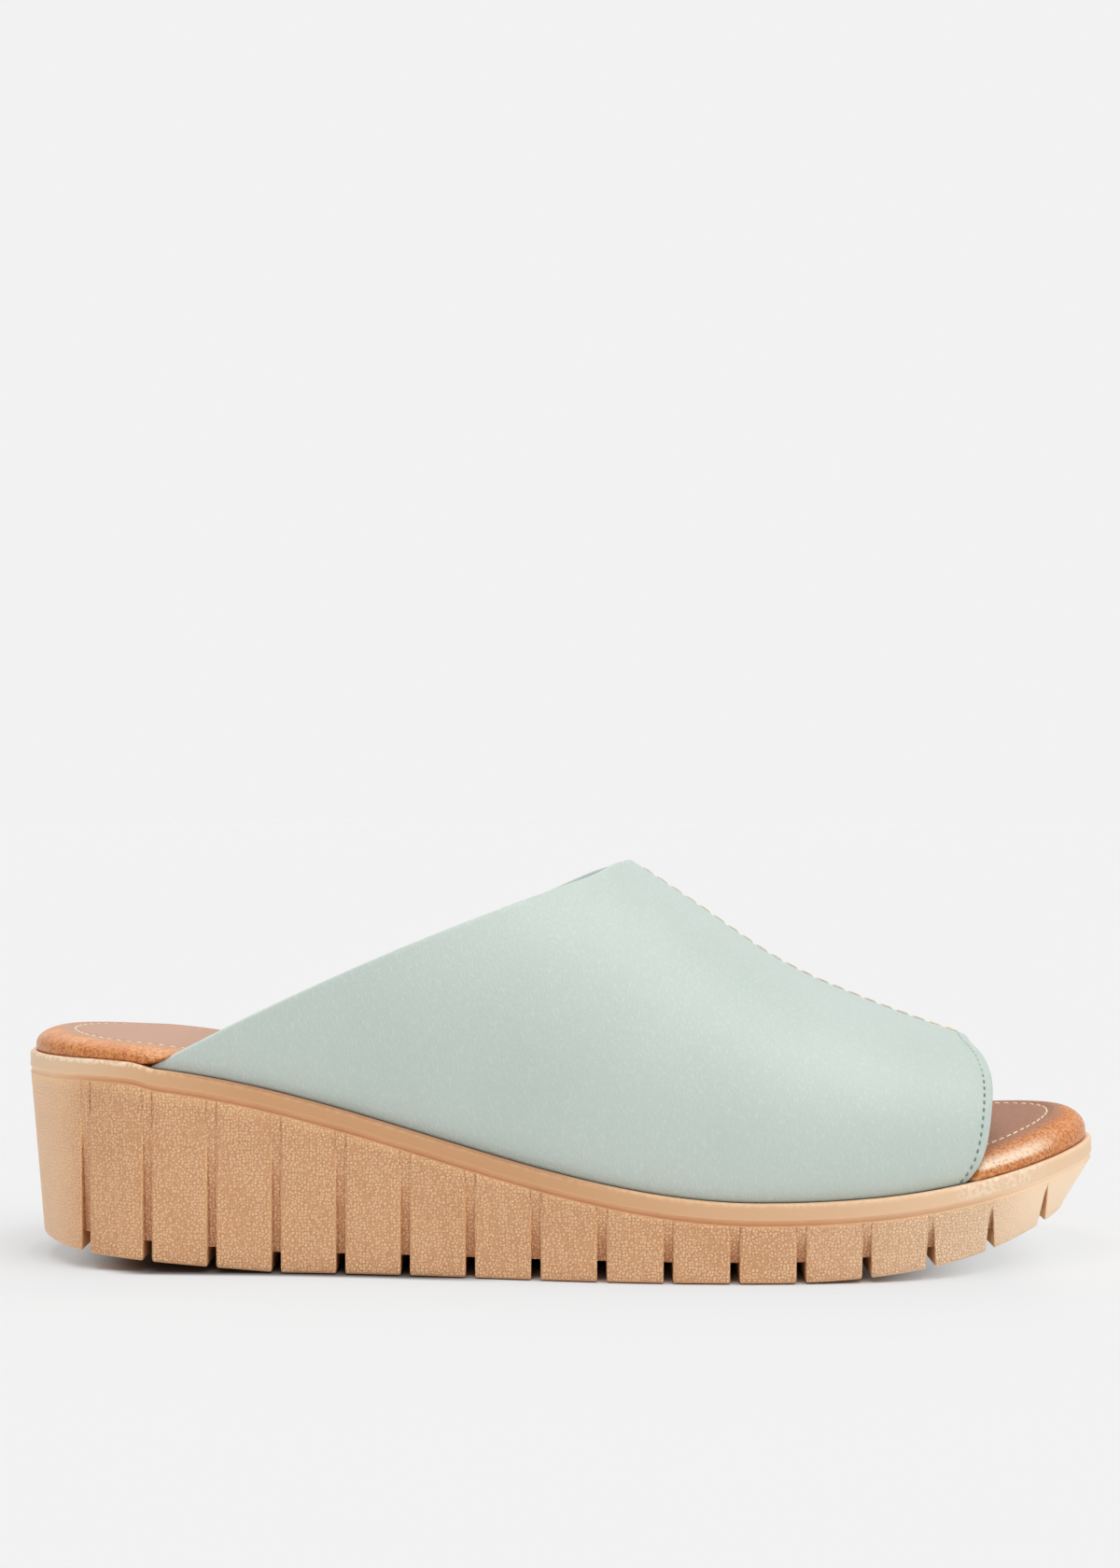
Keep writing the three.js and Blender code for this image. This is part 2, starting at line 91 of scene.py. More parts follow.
HEEL_BATTER = 2.6
TOE_BATTER = 6.0
HEEL_BATTER_RUN = 20.0
TOE_BATTER_RUN = 43.0
TREAD_EDGE = 1.0
LUG_PITCH = 15.1
FIRST_SLOT = 17.9
SLOT_COUNT = 16
SLOT_WIDTH = 2.2
SLOT_DEPTH = 4.5
RIB_DEPTH = 2.4
GROOVE_CURVE = 1.1  # how a groove deepens from the ledge to its foot
LUG_CORNER = 0.45  # rounding of a lug's corners at its slots
WALL_LEVELS = 15
GROOVE_START = {"heel": 0.18, "middle": 0.05, "toe": 0.24}  # share of the wall's height
GROOVE_PINCH = 0.85  # share of its width that a toe groove loses at its top
PEBBLE = 0.72
PEBBLES_LEFT = {"heel": 0.45, "toe": 0.12}  # share of their height at the smoother ends
END_STEPS = 26  # columns round each end of the sole, on each side
FINE_STEPS = 1500
LATERAL = -1
MEDIAL = 1

# Half widths of the sole before its ends are rounded, as shares of half the ball width
OUTLINE = {
    "at": [0, 0.08, 0.15, 0.23, 0.31, 0.4, 0.48, 0.56, 0.64, 0.7, 0.76, 0.82, 0.9, 1],
    "lateral": [
        0.63, 0.66, 0.694, 0.714, 0.755, 0.829, 0.906,
        0.971, 1, 0.996, 0.963, 0.908, 0.8, 0.61,
    ],
    "medial": [
        0.63, 0.66, 0.694, 0.7, 0.69, 0.714, 0.784,
        0.888, 0.971, 1, 1, 0.965, 0.88, 0.73,
    ],
}


def mix(a, b, t):
    """The value t of the way from a to b."""
    return a + (b - a) * t


def ease(low, high, x):
    """Smooth step: 0 up to low, 1 from high, and 3tt - 2ttt between them."""
    t = np.clip((np.asarray(x, float) - low) / (high - low), 0, 1)
    return t * t * (3 - 2 * t)


def within(stretch, x):
    """1 between the middle two of four places, with smooth steps to 0 at the outer two."""
    start, full, fading, end = stretch
    return ease(start, full, x) * (1 - ease(fading, end, x))


def through(table, column, at):
    """A smooth curve through a table's column: on each span the cubic that meets both rows,
    with the slope at a row taken from the row before it to the row after it."""
    places = np.array(table["at"], float)
    values = np.array(table[column], float)
    last = len(places) - 1
    after = np.minimum(np.arange(last + 1) + 1, last)
    before = np.maximum(np.arange(last + 1) - 1, 0)
    slopes = (values[after] - values[before]) / (places[after] - places[before])
    i = np.clip(np.searchsorted(places, at) - 1, 0, last - 1)
    span = places[i + 1] - places[i]
    t = (at - places[i]) / span
    ends = values[i] * (1 + 2 * t) * (1 - t) ** 2 + values[i + 1] * t * t * (3 - 2 * t)
    return ends + span * t * (1 - t) * (slopes[i] * (1 - t) - slopes[i + 1] * t)


def end_round(distance, length, fullness):
    """Rounding of an end, along a superellipse: 0 at its tip and 1 from length on."""
    t = np.clip(distance / length, 0, 1)
    return (1 - (1 - t) ** fullness) ** (1 / fullness)


def outline_y(x, side):
    """Y of the outline: half the width from the table, drawn in to the tips by end_round."""
    share = x / SOLE_LENGTH
    lateral = through(OUTLINE, "lateral", share)
    medial = through(OUTLINE, "medial", share)
    half = np.where(side == LATERAL, lateral, medial) * BALL_WIDTH / 2
    heel = end_round(x, HEEL_ROUND, HEEL_FULLNESS)
    toe = end_round(SOLE_LENGTH - x, TOE_ROUND, TOE_FULLNESS)
    tip = np.where(x > SOLE_LENGTH / 2, TOE_DRIFT, 0.0)
    return mix(tip, side * half, heel * toe)


# The outline as a fine closed ring: x goes by a cosine from heel tip to toe tip on the
# lateral side and back on the medial side. Each point has its inward direction
fine_turn = np.arange(2 * FINE_STEPS) * math.pi / FINE_STEPS
fine_x = SOLE_LENGTH * (1 - np.cos(fine_turn)) / 2
fine_side = np.where(fine_turn <= math.pi, LATERAL, MEDIAL)
fine_ring = np.stack([fine_x, outline_y(fine_x, fine_side)], 1)
fine_along = np.roll(fine_ring, -1, 0) - np.roll(fine_ring, 1, 0)
fine_inward = np.stack([-fine_along[:, 1], fine_along[:, 0]], 1)
fine_inward /= np.linalg.norm(fine_inward, axis=1, keepdims=True)

# From these sizes to the row frame: the heel tip and the sides meet the CAD sole's box
HEEL_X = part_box("sole")[0].x
MIDDLE_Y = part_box("sole")[0].y - fine_ring[:, 1].min() * MM


def ring_at(inset, stations, end_steps):
    """The line that runs inside the outline by inset, given at each fine point. It is cut
    where its x meets the stations, and evenly by length round both ends. The columns run
    from the heel tip along the lateral side to the toe tip and back on the medial side."""
    moved = fine_ring + inset[:, None] * fine_inward
    back = np.vstack([moved[FINE_STEPS:], moved[:1]])[::-1]
    sides = []
    for line in (moved[: FINE_STEPS + 1], back):
        run = np.append(0, np.cumsum(np.linalg.norm(np.diff(line, axis=0), axis=1)))
        marks = np.interp(stations, line[:, 0], run)
        heel = np.linspace(0, marks[0], end_steps + 1)[:-1]
        toe = np.linspace(marks[-1], run[-1], end_steps + 1)[1:]
        cuts = np.concatenate([heel, marks, toe])
        sides.append(np.stack([np.interp(cuts, run, line[:, k]) for k in (0, 1)], 1))
    return np.vstack([sides[0], sides[1][-2:0:-1]])


def ring_faces(rings, columns):
    """Quads between rings stacked from the bottom up, facing outwards."""
    here = np.arange(columns)
    following = (here + 1) % columns
    corners = np.stack([here, following, following + columns, here + columns], 1)
    return (corners[None] + columns * np.arange(rings - 1)[:, None, None]).reshape(-1, 4)


def cap_faces(ring, columns, upwards):
    """Strips that close a ring: each joins two lateral columns to the two across from them,
    and the first and last are triangles at the tips."""
    half = columns // 2
    i = np.arange(1, half - 1)
    strips = np.stack([i, i + 1, columns - i - 1, columns - i], 1).tolist()
    strips.append([0, 1, columns - 1])
    strips.append([half - 1, half, half + 1])
    faces = [[ring * columns + k for k in strip] for strip in strips]
    return faces if upwards else [face[::-1] for face in faces]


def closed_faces(rings, columns):
    """The faces of stacked rings, closed below the first and above the last."""
    caps = cap_faces(0, columns, False) + cap_faces(rings - 1, columns, True)
    return ring_faces(rings, columns).tolist() + caps


def seat_z(x):
    """Height of the seat: a smooth fall from heel to ball, then a parabola up to the toe."""
    toe = np.clip((x - FLAT_TO) / (SOLE_LENGTH - FLAT_TO), 0, None)
    slope = mix(HEEL_SEAT_RISE, TREAD_RISE, ease(SLOPE_FROM, SLOPE_TO, x))
    return slope + (TOE_SEAT_RISE - TREAD_RISE) * toe**2


UPPER_BACK_LATERAL = 33.0
lip_end = UPPER_BACK_LATERAL + RIM_WALL


def rim_z(x):
    """Height of the rim: the seat, and a lip round the heel."""
    return seat_z(x) + HEEL_LIP * (1 - ease(lip_end - HEEL_LIP_RUN, lip_end, x))


def tread_z(x):
    """Height of the tread: flat, but for a power curve up to each end."""
    heel = np.clip((FLAT_FROM - x) / FLAT_FROM, 0, None)
    toe = np.clip((x - FLAT_TO) / (SOLE_LENGTH - FLAT_TO), 0, None)
    return HEEL_LIFT * heel**HEEL_LIFT_CURVE + TOE_SPRING * toe**TOE_SPRING_CURVE


def wall_top_z(x):
    """Height of the wall's upper edge, below the band and the ledge."""
    return rim_z(x) - RIM_BAND - LEDGE_HEIGHT


def wall_inset(x, down):
    """How far the wall stands inside the outline, from the ledge (0) to the tread (1)."""
    heel = HEEL_BATTER * (1 - ease(0, HEEL_BATTER_RUN, x))
    toe = TOE_BATTER * ease(SOLE_LENGTH - TOE_BATTER_RUN, SOLE_LENGTH, x)
    return 0.15 + (SIDE_BATTER + heel + toe) * down


def ledge_share(x):
    """How deep the ledge is at x, as a share: it fades round the heel and the toe."""
    heel = mix(LEDGE_END_SHARE, 1, ease(8, HEEL_ROUND, x))
    toe = mix(1, LEDGE_END_SHARE, ease(SOLE_LENGTH - 40, SOLE_LENGTH - 12, x))
    return heel * toe


# Columns of the sole: close together over each slot's edges, wider apart over the lugs.
# The columns round the two ends stand beyond every slot
BEYOND = 999.0
slot_middles = FIRST_SLOT + LUG_PITCH * np.arange(SLOT_COUNT)
half_slot = SLOT_WIDTH / 2
slot_columns = half_slot + np.array(
    [1.1, 0.6, LUG_CORNER, 0.3, 0.18, 0.08, 0.02, -0.02, -0.12, -0.4, -0.75]
)
slot_columns = np.concatenate([-slot_columns, [0], slot_columns[::-1]])
lug_columns = np.linspace(half_slot + 2.6, LUG_PITCH - half_slot - 2.6, 7)
sole_stations = np.concatenate(
    [
        (slot_middles[:, None] + slot_columns).ravel(),
        (slot_middles[:-1, None] + lug_columns).ravel(),
    ]
)
sole_stations.sort()
sole_plan = ring_at(np.zeros_like(fine_x), sole_stations, END_STEPS)
sole_side = np.where(np.arange(len(sole_plan)) * 2 <= len(sole_plan), LATERAL, MEDIAL)
side_x = np.concatenate(
    [np.full(END_STEPS, -BEYOND), sole_stations, np.full(END_STEPS, BEYOND)]
)
column_x = np.concatenate([side_x, side_x[-2:0:-1]])
nearest_slot = slot_middles[
    np.argmin(np.abs(column_x[:, None] - slot_middles[None]), axis=1)
]
from_slot = column_x - nearest_slot
in_slot = np.abs(from_slot) < half_slot
off_edge = np.clip((np.abs(from_slot) - half_slot) / LUG_CORNER, 0, 1)
lug_corner = np.where(in_slot, 0, LUG_CORNER * (1 - np.sqrt(1 - (1 - off_edge) ** 2)))
ceiling_z = tread_z(nearest_slot) + SLOT_DEPTH


def pinched_stations(down):
    """The columns' places on the wall: at the toe they close up over a slot towards the
    wall's top, so that the groove narrows."""
    nearest = slot_middles[np.abs(sole_stations[:, None] - slot_middles).argmin(1)]
    from_middle = sole_stations - nearest
    near = 1 - ease(half_slot, 3.2 * half_slot, np.abs(from_middle))
    pinch = GROOVE_PINCH * ease(186, 232, nearest) * (1 - down)
    return sole_stations - from_middle * near * pinch


def groove_depth(x, down):
    """Depth of a groove: none from the ledge to its start, then growing by a power curve."""
    start = mix(GROOVE_START["heel"], GROOVE_START["middle"], ease(45, 90, x))
    start = mix(start, GROOVE_START["toe"], ease(180, 240, x))
    return RIB_DEPTH * np.clip((down - start) / (1 - start), 0, 1) ** GROOVE_CURVE


def sole_level(inset, height, down=None, corner=0.0, slot_height=None):
    """One ring of the sole. Over a slot it stands further in by the groove's depth, and has
    its own height. Beside a slot the lug's rounded corner draws it in, and lifts it by a
    share of the same length, the corner."""
    stations = sole_stations if down is None else pinched_stations(down)
    ring = ring_at(inset(fine_x), stations, END_STEPS)
    z = height(ring[:, 0])
    if slot_height is not None:
        depth = groove_depth(fine_x, down)
        grooved = ring_at(inset(fine_x) + depth, stations, END_STEPS)
        y = np.where(in_slot, grooved[:, 1], ring[:, 1] - sole_side * lug_corner)
        z = np.where(in_slot, slot_height(ring[:, 0]), z + corner * lug_corner)
        ring = np.stack([ring[:, 0], y], 1)
    return np.column_stack([ring, z])


def tread_level(turn):
    """A ring on the quarter circle between the wall (turn 0) and the tread (turn 1)."""
    out = TREAD_EDGE * (1 - math.cos(turn * math.pi / 2))
    up = TREAD_EDGE * (1 - math.sin(turn * math.pi / 2))
    return sole_level(
        lambda x: wall_inset(x, 1) + out,
        lambda x: tread_z(x) + up,
        1.0,
        1.0,
        lambda x: ceiling_z,
    )


def wall_level(down):
    """A ring on the wall. Over a slot the wall ends at the slot's ceiling, and its groove
    deepens steadily from the ledge to there."""
    return sole_level(
        lambda x: wall_inset(x, down),
        lambda x: mix(wall_top_z(x), tread_z(x) + TREAD_EDGE, down),
        down,
        down**6,
        lambda x: mix(wall_top_z(x), ceiling_z, down),
    )


def rim_level(inset, below):
    """A ring of the band, the ledge or the rim, this far below the rim's top."""
    return sole_level(lambda x: np.full_like(x, inset), lambda x: rim_z(x) - below)


def ledge_level(share, below):
    """A ring of the ledge, drawn in by a share of its depth."""
    return sole_level(
        lambda x: 0.12 + LEDGE_DEPTH * share * ledge_share(x),
        lambda x: rim_z(x) - below,
    )


wall_downs = np.linspace(1, 0, WALL_LEVELS)
ledge_foot = RIM_BAND + LEDGE_HEIGHT
tread_turns = (1, 0.66, 0.33)
ledge_rings = [
    (0.08, ledge_foot - 0.06),
    (0.45, ledge_foot - 0.16),
    (0.9, ledge_foot - 0.34),
    (1.0, ledge_foot - 0.7),
    (1.0, RIM_BAND + 0.42),
    (0.8, RIM_BAND + 0.2),
    (0.3, RIM_BAND + 0.08),
]
rim_rings = [
    (0.06, RIM_BAND),
    (0.0, RIM_BAND - 0.2),
    (0.0, RIM_BAND - 0.6),
    (0.04, RIM_BAND * 0.55),
    (0.0, RIM_EDGE + 0.2),
    (0.04, RIM_EDGE * 0.62),
    (0.16, RIM_EDGE * 0.3),
    (0.4, RIM_EDGE * 0.09),
    (0.75, 0.0),
    (RIM_WALL - 0.5, 0.0),
    (RIM_WALL - 0.1, 0.14),
    (RIM_WALL, 0.5),
    (RIM_WALL, CAVITY_DEPTH),
]
sole_rings = [tread_level(turn) for turn in tread_turns]
sole_rings += [wall_level(down) for down in wall_downs]
sole_rings += [ledge_level(share, below) for share, below in ledge_rings]
sole_rings += [rim_level(inset, below) for inset, below in rim_rings]
sole_points = np.stack(sole_rings)
ring_count, column_count = sole_points.shape[:2]

# What the rubber's finish needs to know of each point. On the wall: where the mould is
# pebbled, how far down a groove the point is, for painted shade in the grooves, which edge
# of a slot gets a painted highlight, and the painted shade line beside that edge at the heel.
# A change along the sole is given by the x of its two ends, or of its start, full part and
# end. A change down the wall is given in shares
HEEL_SMOOTHING = (9, 22)
TOE_SMOOTHING = (222, 244)
GROOVE_SHADE_DOWN = (0.1, 0.8)
EDGE_LIGHT_DOWN = (0.02, 0.3)
EDGE_LIGHT_WIDTH = 0.35
TOE_SIDE_LIGHT = 0.35  # share of the painted highlight on a slot's edge towards the toe
WALL_TOP_LIGHT = 0.45
BAND_FOOT_LIGHT = 0.12
# The painted shade line in a groove: how dark it is by distance from the slot's edge
SHADE_LINE = {"from_edge": [0.03, 0.1, 0.4, 0.75], "dark": [0, 1, 0.7, 0]}
SHADE_LINE_DOWN = (0.2, 0.55)
SHADE_LINE_FADING = (45, 110)
RIM_WEAR_FADING = (24, 40)
SCUFF = (217, 226, 236, 246)
RIM_IN_SHADE = (32, 48, 120, 150)
# x where the painted shade on the band, under the upper's swell, starts, is full, fades, ends
SHADED_BAND = (15, 62, 110, 185)
# x over which painted light grows towards the toe
TOE_LIGHT = (170, 246)
PALE_HEEL_TO = (6, 22)
PALE_HEEL_SHARE = 0.45
PALE_BAND_RUN = 14  # how much further from the heel the band is pale
first_wall = len(tread_turns)
first_ledge = first_wall + WALL_LEVELS
first_rim = first_ledge + len(ledge_rings)
rim_edge = first_rim + 5  # the first of the rings over the rim's rounded edge
rim_end = rim_edge + 5
ring_down = np.full((ring_count, 1), -1.0)
ring_down[:first_wall] = 1
ring_down[first_wall:first_ledge, 0] = wall_downs
on_wall = ring_down >= 0
sole_x = sole_points[..., 0]
smooth_heel = mix(PEBBLES_LEFT["heel"], 1, ease(*HEEL_SMOOTHING, sole_x))
smooth_toe = mix(1, PEBBLES_LEFT["toe"], ease(*TOE_SMOOTHING, sole_x))
pebbled = np.where(on_wall, smooth_heel * smooth_toe, 0)
pebbled[: first_wall - 1] = 0
# Painted shade in the grooves, growing down the wall
grooved = np.where(on_wall & in_slot, ease(*GROOVE_SHADE_DOWN, ring_down), 0)
# Inside a slot only the first column on the heel's side gets the painted highlight
by_slot = np.clip(1 - (np.abs(from_slot) - half_slot) / EDGE_LIGHT_WIDTH, 0, 1)
by_slot = np.where(in_slot, 0.9 * (from_slot < 0.05 - half_slot), by_slot)
slot_edge = by_slot * np.where(from_slot < 0, 1, TOE_SIDE_LIGHT)
painted_edge_light = np.where(on_wall, slot_edge * ease(*EDGE_LIGHT_DOWN, ring_down), 0)
# A painted shade line in each groove beside its lit heel-side edge, towards the heel
shade_line = np.interp(from_slot + half_slot, SHADE_LINE["from_edge"], SHADE_LINE["dark"])
at_heel = (1 - ease(*SHADE_LINE_FADING, sole_x)) * ease(*SHADE_LINE_DOWN, ring_down)
painted_shade_line = np.where(on_wall & in_slot, shade_line * at_heel, 0)


def on_rings(first, end):
    """1 on the sole's rings from first up to end, and 0 on the others."""
    chosen = np.zeros_like(pebbled)
    chosen[first:end] = 1
    return chosen


# Above the wall: painted highlights on the edges of wall and band, painted shade in the
# ledge, the band, where its upper edge is worn at the heel and scuffed at the toe, and painted
# shade where the upper's swell shades the rim
painted_edge_light[first_ledge - 1 : first_ledge + 1] = WALL_TOP_LIGHT
painted_edge_light[first_rim : first_rim + 2] = BAND_FOOT_LIGHT
ledge_shade = on_rings(first_ledge + 1, first_rim) * ledge_share(sole_x)
in_band = on_rings(first_rim, ring_count)
rim_worn = on_rings(rim_edge, rim_end) * mix(0.2, 1, 1 - ease(*RIM_WEAR_FADING, sole_x))
rim_worn += 0.8 * on_rings(rim_edge - 3, rim_end) * within(SCUFF, sole_x)
rim_shade = on_rings(rim_edge + 1, rim_end) * within(RIM_IN_SHADE, sole_x)
# Painted light at the toe, half as strong on the band. At the heel's end the smooth rubber is
# paler
painted_toe_light = ease(*TOE_LIGHT, sole_x) * (1 - 0.5 * in_band)
pale_from, pale_to = PALE_HEEL_TO
pale_heel = PALE_HEEL_SHARE * (1 - ease(pale_from, pale_to + PALE_BAND_RUN * in_band, sole_x))


def build_piece(name, points, faces, material, masks=None, sharp_over=40):
    """A mesh object in the row frame, from points in the sandal's own millimetres, with one
    number a point for each mask. Edges that turn by more than sharp_over degrees are sharp."""
    flat = np.asarray(points, float).reshape(-1, 3)
    placed = flat * MM + np.array([HEEL_X, MIDDLE_Y, 0])
    mesh = bpy.data.meshes.new(name)
    mesh.from_pydata(placed.tolist(), [], [list(face) for face in faces])
    for mask, values in (masks or {}).items():
        attribute = mesh.attributes.new(mask, "FLOAT", "POINT")
        attribute.data.foreach_set("value", np.asarray(values, np.float32).ravel())
    mesh.shade_smooth()
    mesh.set_sharp_from_angle(angle=math.radians(sharp_over))
    mesh.materials.append(material)
    piece = bpy.data.objects.new(name, mesh)
    bpy.context.scene.collection.objects.link(piece)
    return piece


class Wire:
    """An output socket of a material's nodes. An expression on wires adds its Math nodes."""

    def __init__(self, tree, socket):
        self.tree = tree
        self.socket = socket

    def node(self, kind, settings, sockets, out=0):
        """Adds a node: first its settings, then its sockets' values or wires. Returns the
        wire of one output."""
        made = self.tree.nodes.new("ShaderNode" + kind)
        for name, value in settings.items():
            setattr(made, name, value)
        for name, value in sockets.items():
            if isinstance(value, Wire):
                self.tree.links.new(value.socket, made.inputs[name])
            else:
                made.inputs[name].default_value = value
        return Wire(self.tree, made.outputs[out])

    def maths(self, operation, *values):
        """A Math node on these wires or numbers."""
        return self.node("Math", {"operation": operation}, dict(enumerate(values)))

    def __add__(self, other):
        return self.maths("ADD", self, other)

    def __sub__(self, other):
        return self.maths("SUBTRACT", self, other)

    def __rsub__(self, other):
        return self.maths("SUBTRACT", other, self)

    def __mul__(self, other):
        return self.maths("MULTIPLY", self, other)

    def __pow__(self, other):
        return self.maths("POWER", self, other)

    __radd__ = __add__
    __rmul__ = __mul__

    def between(self, low, high):
        """Smooth step of this wire: 0 at low and 1 at high, which may be the lower one."""
        rising = low < high
        sockets = {"Value": self, "From Min": min(low, high), "From Max": max(low, high)}
        stepped = self.node("MapRange", {"interpolation_type": "SMOOTHSTEP"}, sockets)
        return stepped if rising else 1 - stepped

    def mask(self, name):
        """A number that the mesh keeps for each point."""
        return self.node("Attribute", {"attribute_name": name}, {}, "Fac")

    def stretched(self, x, y, z):
        """This vector with each part multiplied."""
        return self.node("VectorMath", {"operation": "MULTIPLY"}, {0: self, 1: (x, y, z)})

    def noise(self, size_mm, detail=2.0):
        """Noise from about 0.3 to 0.7, with lumps of this size."""
        return self.node(
            "TexNoise", {}, {"Vector": self, "Scale": 1 / (size_mm * MM), "Detail": detail}
        )

    def cells(self, size_mm, feature="F1", uneven=1.0):
        """Distance to the nearest seed, or to the nearest border, of cells of this size."""
        sockets = {"Vector": self, "Scale": 1 / (size_mm * MM), "Randomness": uneven}
        return self.node("TexVoronoi", {"feature": feature}, sockets)

    def part(self, axis):
        """One part of this vector, in metres."""
        return self.node("SeparateXYZ", {}, {0: self}, axis)

    def blend(self, colour_0, colour_1):
        """The first colour where this wire is 0 and the second where it is 1."""
        return self.node("Mix", {"data_type": "RGBA"}, {0: self, 6: colour_0, 7: colour_1}, 2)

    def bump(self, depth_mm, under=None):
        """A surface direction from this wire as a height, over another bump."""
        sockets = {"Height": self, "Distance": depth_mm * MM, "Strength": 1.0}
        if under is not None:
            sockets["Normal"] = under
        return self.node("Bump", {}, sockets)

    def shown_by(self, output_name):
        """Links this shader to the tree's output node."""
        self.tree.links.new(self.socket, self.tree.nodes[output_name].inputs["Surface"])


def rgb(red, green, blue, light=1.0):
    """A shader colour from picture values of 0 to 255, with its brightness multiplied."""
    share = np.array([red, green, blue]) / 255
    linear = np.where(share <= 0.04045, share / 12.92, ((share + 0.055) / 1.055) ** 2.4)
    return (*(linear * light).tolist(), 1.0)


def new_finish(name, roughness, **uniform):
    """A material: itself, its shader, and a wire of the piece's own coordinates. A uniform
    value is set by its socket's name, with _ for each space."""
    material = bpy.data.materials.new(name)
    material.use_nodes = True
    tree = material.node_tree
    shader = tree.nodes["Principled BSDF"]
    shader.inputs["Roughness"].default_value = roughness
    for socket, value in uniform.items():
        shader.inputs[socket.replace("_", " ")].default_value = value
    coordinates = tree.nodes.new("ShaderNodeTexCoord")
    return material, shader, Wire(tree, coordinates.outputs["Object"])


def feed(shader, **wires):
    """Links wires to a shader's sockets."""
    for socket, wire in wires.items():
        wire.tree.links.new(wire.socket, shader.inputs[socket.replace("_", " ")])


def sole_rubber():
    """Tan foamed rubber. Round pebbles with painted light on their tops and painted shade in the
    valleys between them, over a mottle; painted shade in the grooves and the ledge, and painted
    light at the toe. The band is smooth, browner with painted shade along its middle; its upper
    edge is chipped lighter and in painted shade under the upper, and the edges get painted
    highlights."""
    material, shader, place = new_finish("sole_rubber", 0.55, Specular_IOR_Level=0.4)
    pebbled_here = place.mask("pebbled")
    warp = place.noise(2.0, 1.0) * 0.0005
    bent = place.node("VectorMath", {"operation": "ADD"}, {0: place, 1: warp})
    dome = 1 - (bent.cells(PEBBLE, uneven=0.75) * 1.5) ** 2.0
    valley = bent.cells(PEBBLE, "DISTANCE_TO_EDGE", 0.75).between(0.0, 0.18)
    pebble = (dome * 0.6 + valley * 0.4) * pebbled_here
    mottle = place.noise(9.0, 3.0).between(0.3, 0.7)
    tan = mottle.blend(rgb(219, 167, 123), rgb(225, 174, 130))
    # Painted shade on the band's middle, under the upper's swell
    band = place.mask("band_shade").blend(rgb(209, 168, 128), rgb(196, 147, 103))
    banded = place.mask("band").blend(tan, band)
    # Painted light at the toe, and paler smooth rubber at the heel
    pale_and_toe_light = place.mask("pale_and_toe_light").blend(banded, rgb(240, 212, 180))
    # Painted shade in the grooves: pinker and darker
    groove_shaded = (place.mask("grooved") * 0.35).blend(pale_and_toe_light, rgb(204, 142, 108))
    # Painted shade line in the grooves near the heel
    lined = (place.mask("painted_shade_line") * 0.6).blend(groove_shaded, rgb(158, 96, 60))
    # Painted shade in the valleys between pebbles, and painted light on their tops
    valley_shaded = ((1 - valley) * pebbled_here * 0.5).blend(lined, rgb(188, 124, 80))
    pebble_light = dome.between(0.45, 0.95) * pebbled_here * 0.45
    topped = pebble_light.blend(valley_shaded, rgb(246, 206, 160))
    # Painted shade in the ledge's recess
    ledge = (place.mask("ledge") * 0.15).blend(topped, rgb(206, 150, 118))
    # Painted highlights along the slots' edges, the wall's top and the band's foot
    edged = (place.mask("painted_edge_light") * 0.8).blend(ledge, rgb(250, 204, 148))
    chipped = place.mask("worn") * place.noise(1.1, 3.0).between(0.42, 0.6)
    worn = (chipped * 0.6).blend(edged, rgb(238, 224, 204))
    # Painted shade on the rim's top under the upper's swell
    shaded_rim = (place.mask("rim_shade") * 0.7).blend(worn, rgb(150, 104, 68))
    soft = place.noise(2.6, 2.0).bump(0.12, place.noise(0.5, 2.0).bump(0.02))
    feed(shader, Base_Color=shaded_rim, Normal=pebble.bump(0.26, soft))
    return material


sole_faces = closed_faces(ring_count, column_count)
sole_masks = {
    "pebbled": pebbled,
    "grooved": grooved,
    "painted_shade_line": painted_shade_line,
    "painted_edge_light": painted_edge_light,
    "ledge": ledge_shade,
    "band": in_band,
    "band_shade": within(SHADED_BAND, sole_x),
    "pale_and_toe_light": np.maximum(painted_toe_light, pale_heel),
    "worn": rim_worn,
    "rim_shade": rim_shade,
}
sole_unit = build_piece("sole_unit", sole_points, sole_faces, sole_rubber(), sole_masks)
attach(sole_unit, "root")
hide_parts("sole")

# Footbed. A foam pad covered in tan leather, laid in the sole's rim and glued down. Its edge
# is rolled and swells out over the rim at heel and toe, and a row of stitches runs round
# the top where the roll ends. Beside the upper it is narrower, to leave room for the wall.
FIT_GAP = 0.35
FOOTBED_HEEL_RISE = 5.0
FOOTBED_TOE_RISE = 11.1
FOOTBED_TOE_FALL = 5.8
FOOTBED_RISE_FROM = 130.0
FOOTBED_RISE_TO = 246.0
FOOTBED_HEEL_CUP = 2.0
FOOTBED_CUP_RUN = 26.0
ROLL_END = 12.0
ROLL_OVERHANG = 1.0
ROLL_BELLY = 1.4
ROLL_FULLNESS = 2.2
SEAM_INSET = 10.6
SEAM_DEPTH = 0.55
SEAM_HALF_WIDTH = 0.9
UPPER_WALL = 2.0
UPPER_BACK_MEDIAL = 38.0
UPPER_FRONT = SOLE_LENGTH - 35.8
APEX_X = 145.4
APEX_RISE = 94.8
OPENING_X = SOLE_LENGTH - 30.2
OPENING_RISE = 50.9
OPENING_CROWN = 3.7
OPENING_CROWN_FULLNESS = 4.0
EDGE_CLEARANCE = 0.6  # from the upper's edges to where the footbed widens
WIDENING = 2.4  # length over which it widens
TOE_ROLL_REFLECTION = (216, 228, 238, 250)  # x where the painted reflection low on the toe's roll starts and stops
# x over which the painted reflection at the heel fades
HEEL_REFLECTION_TO = (30, 75)


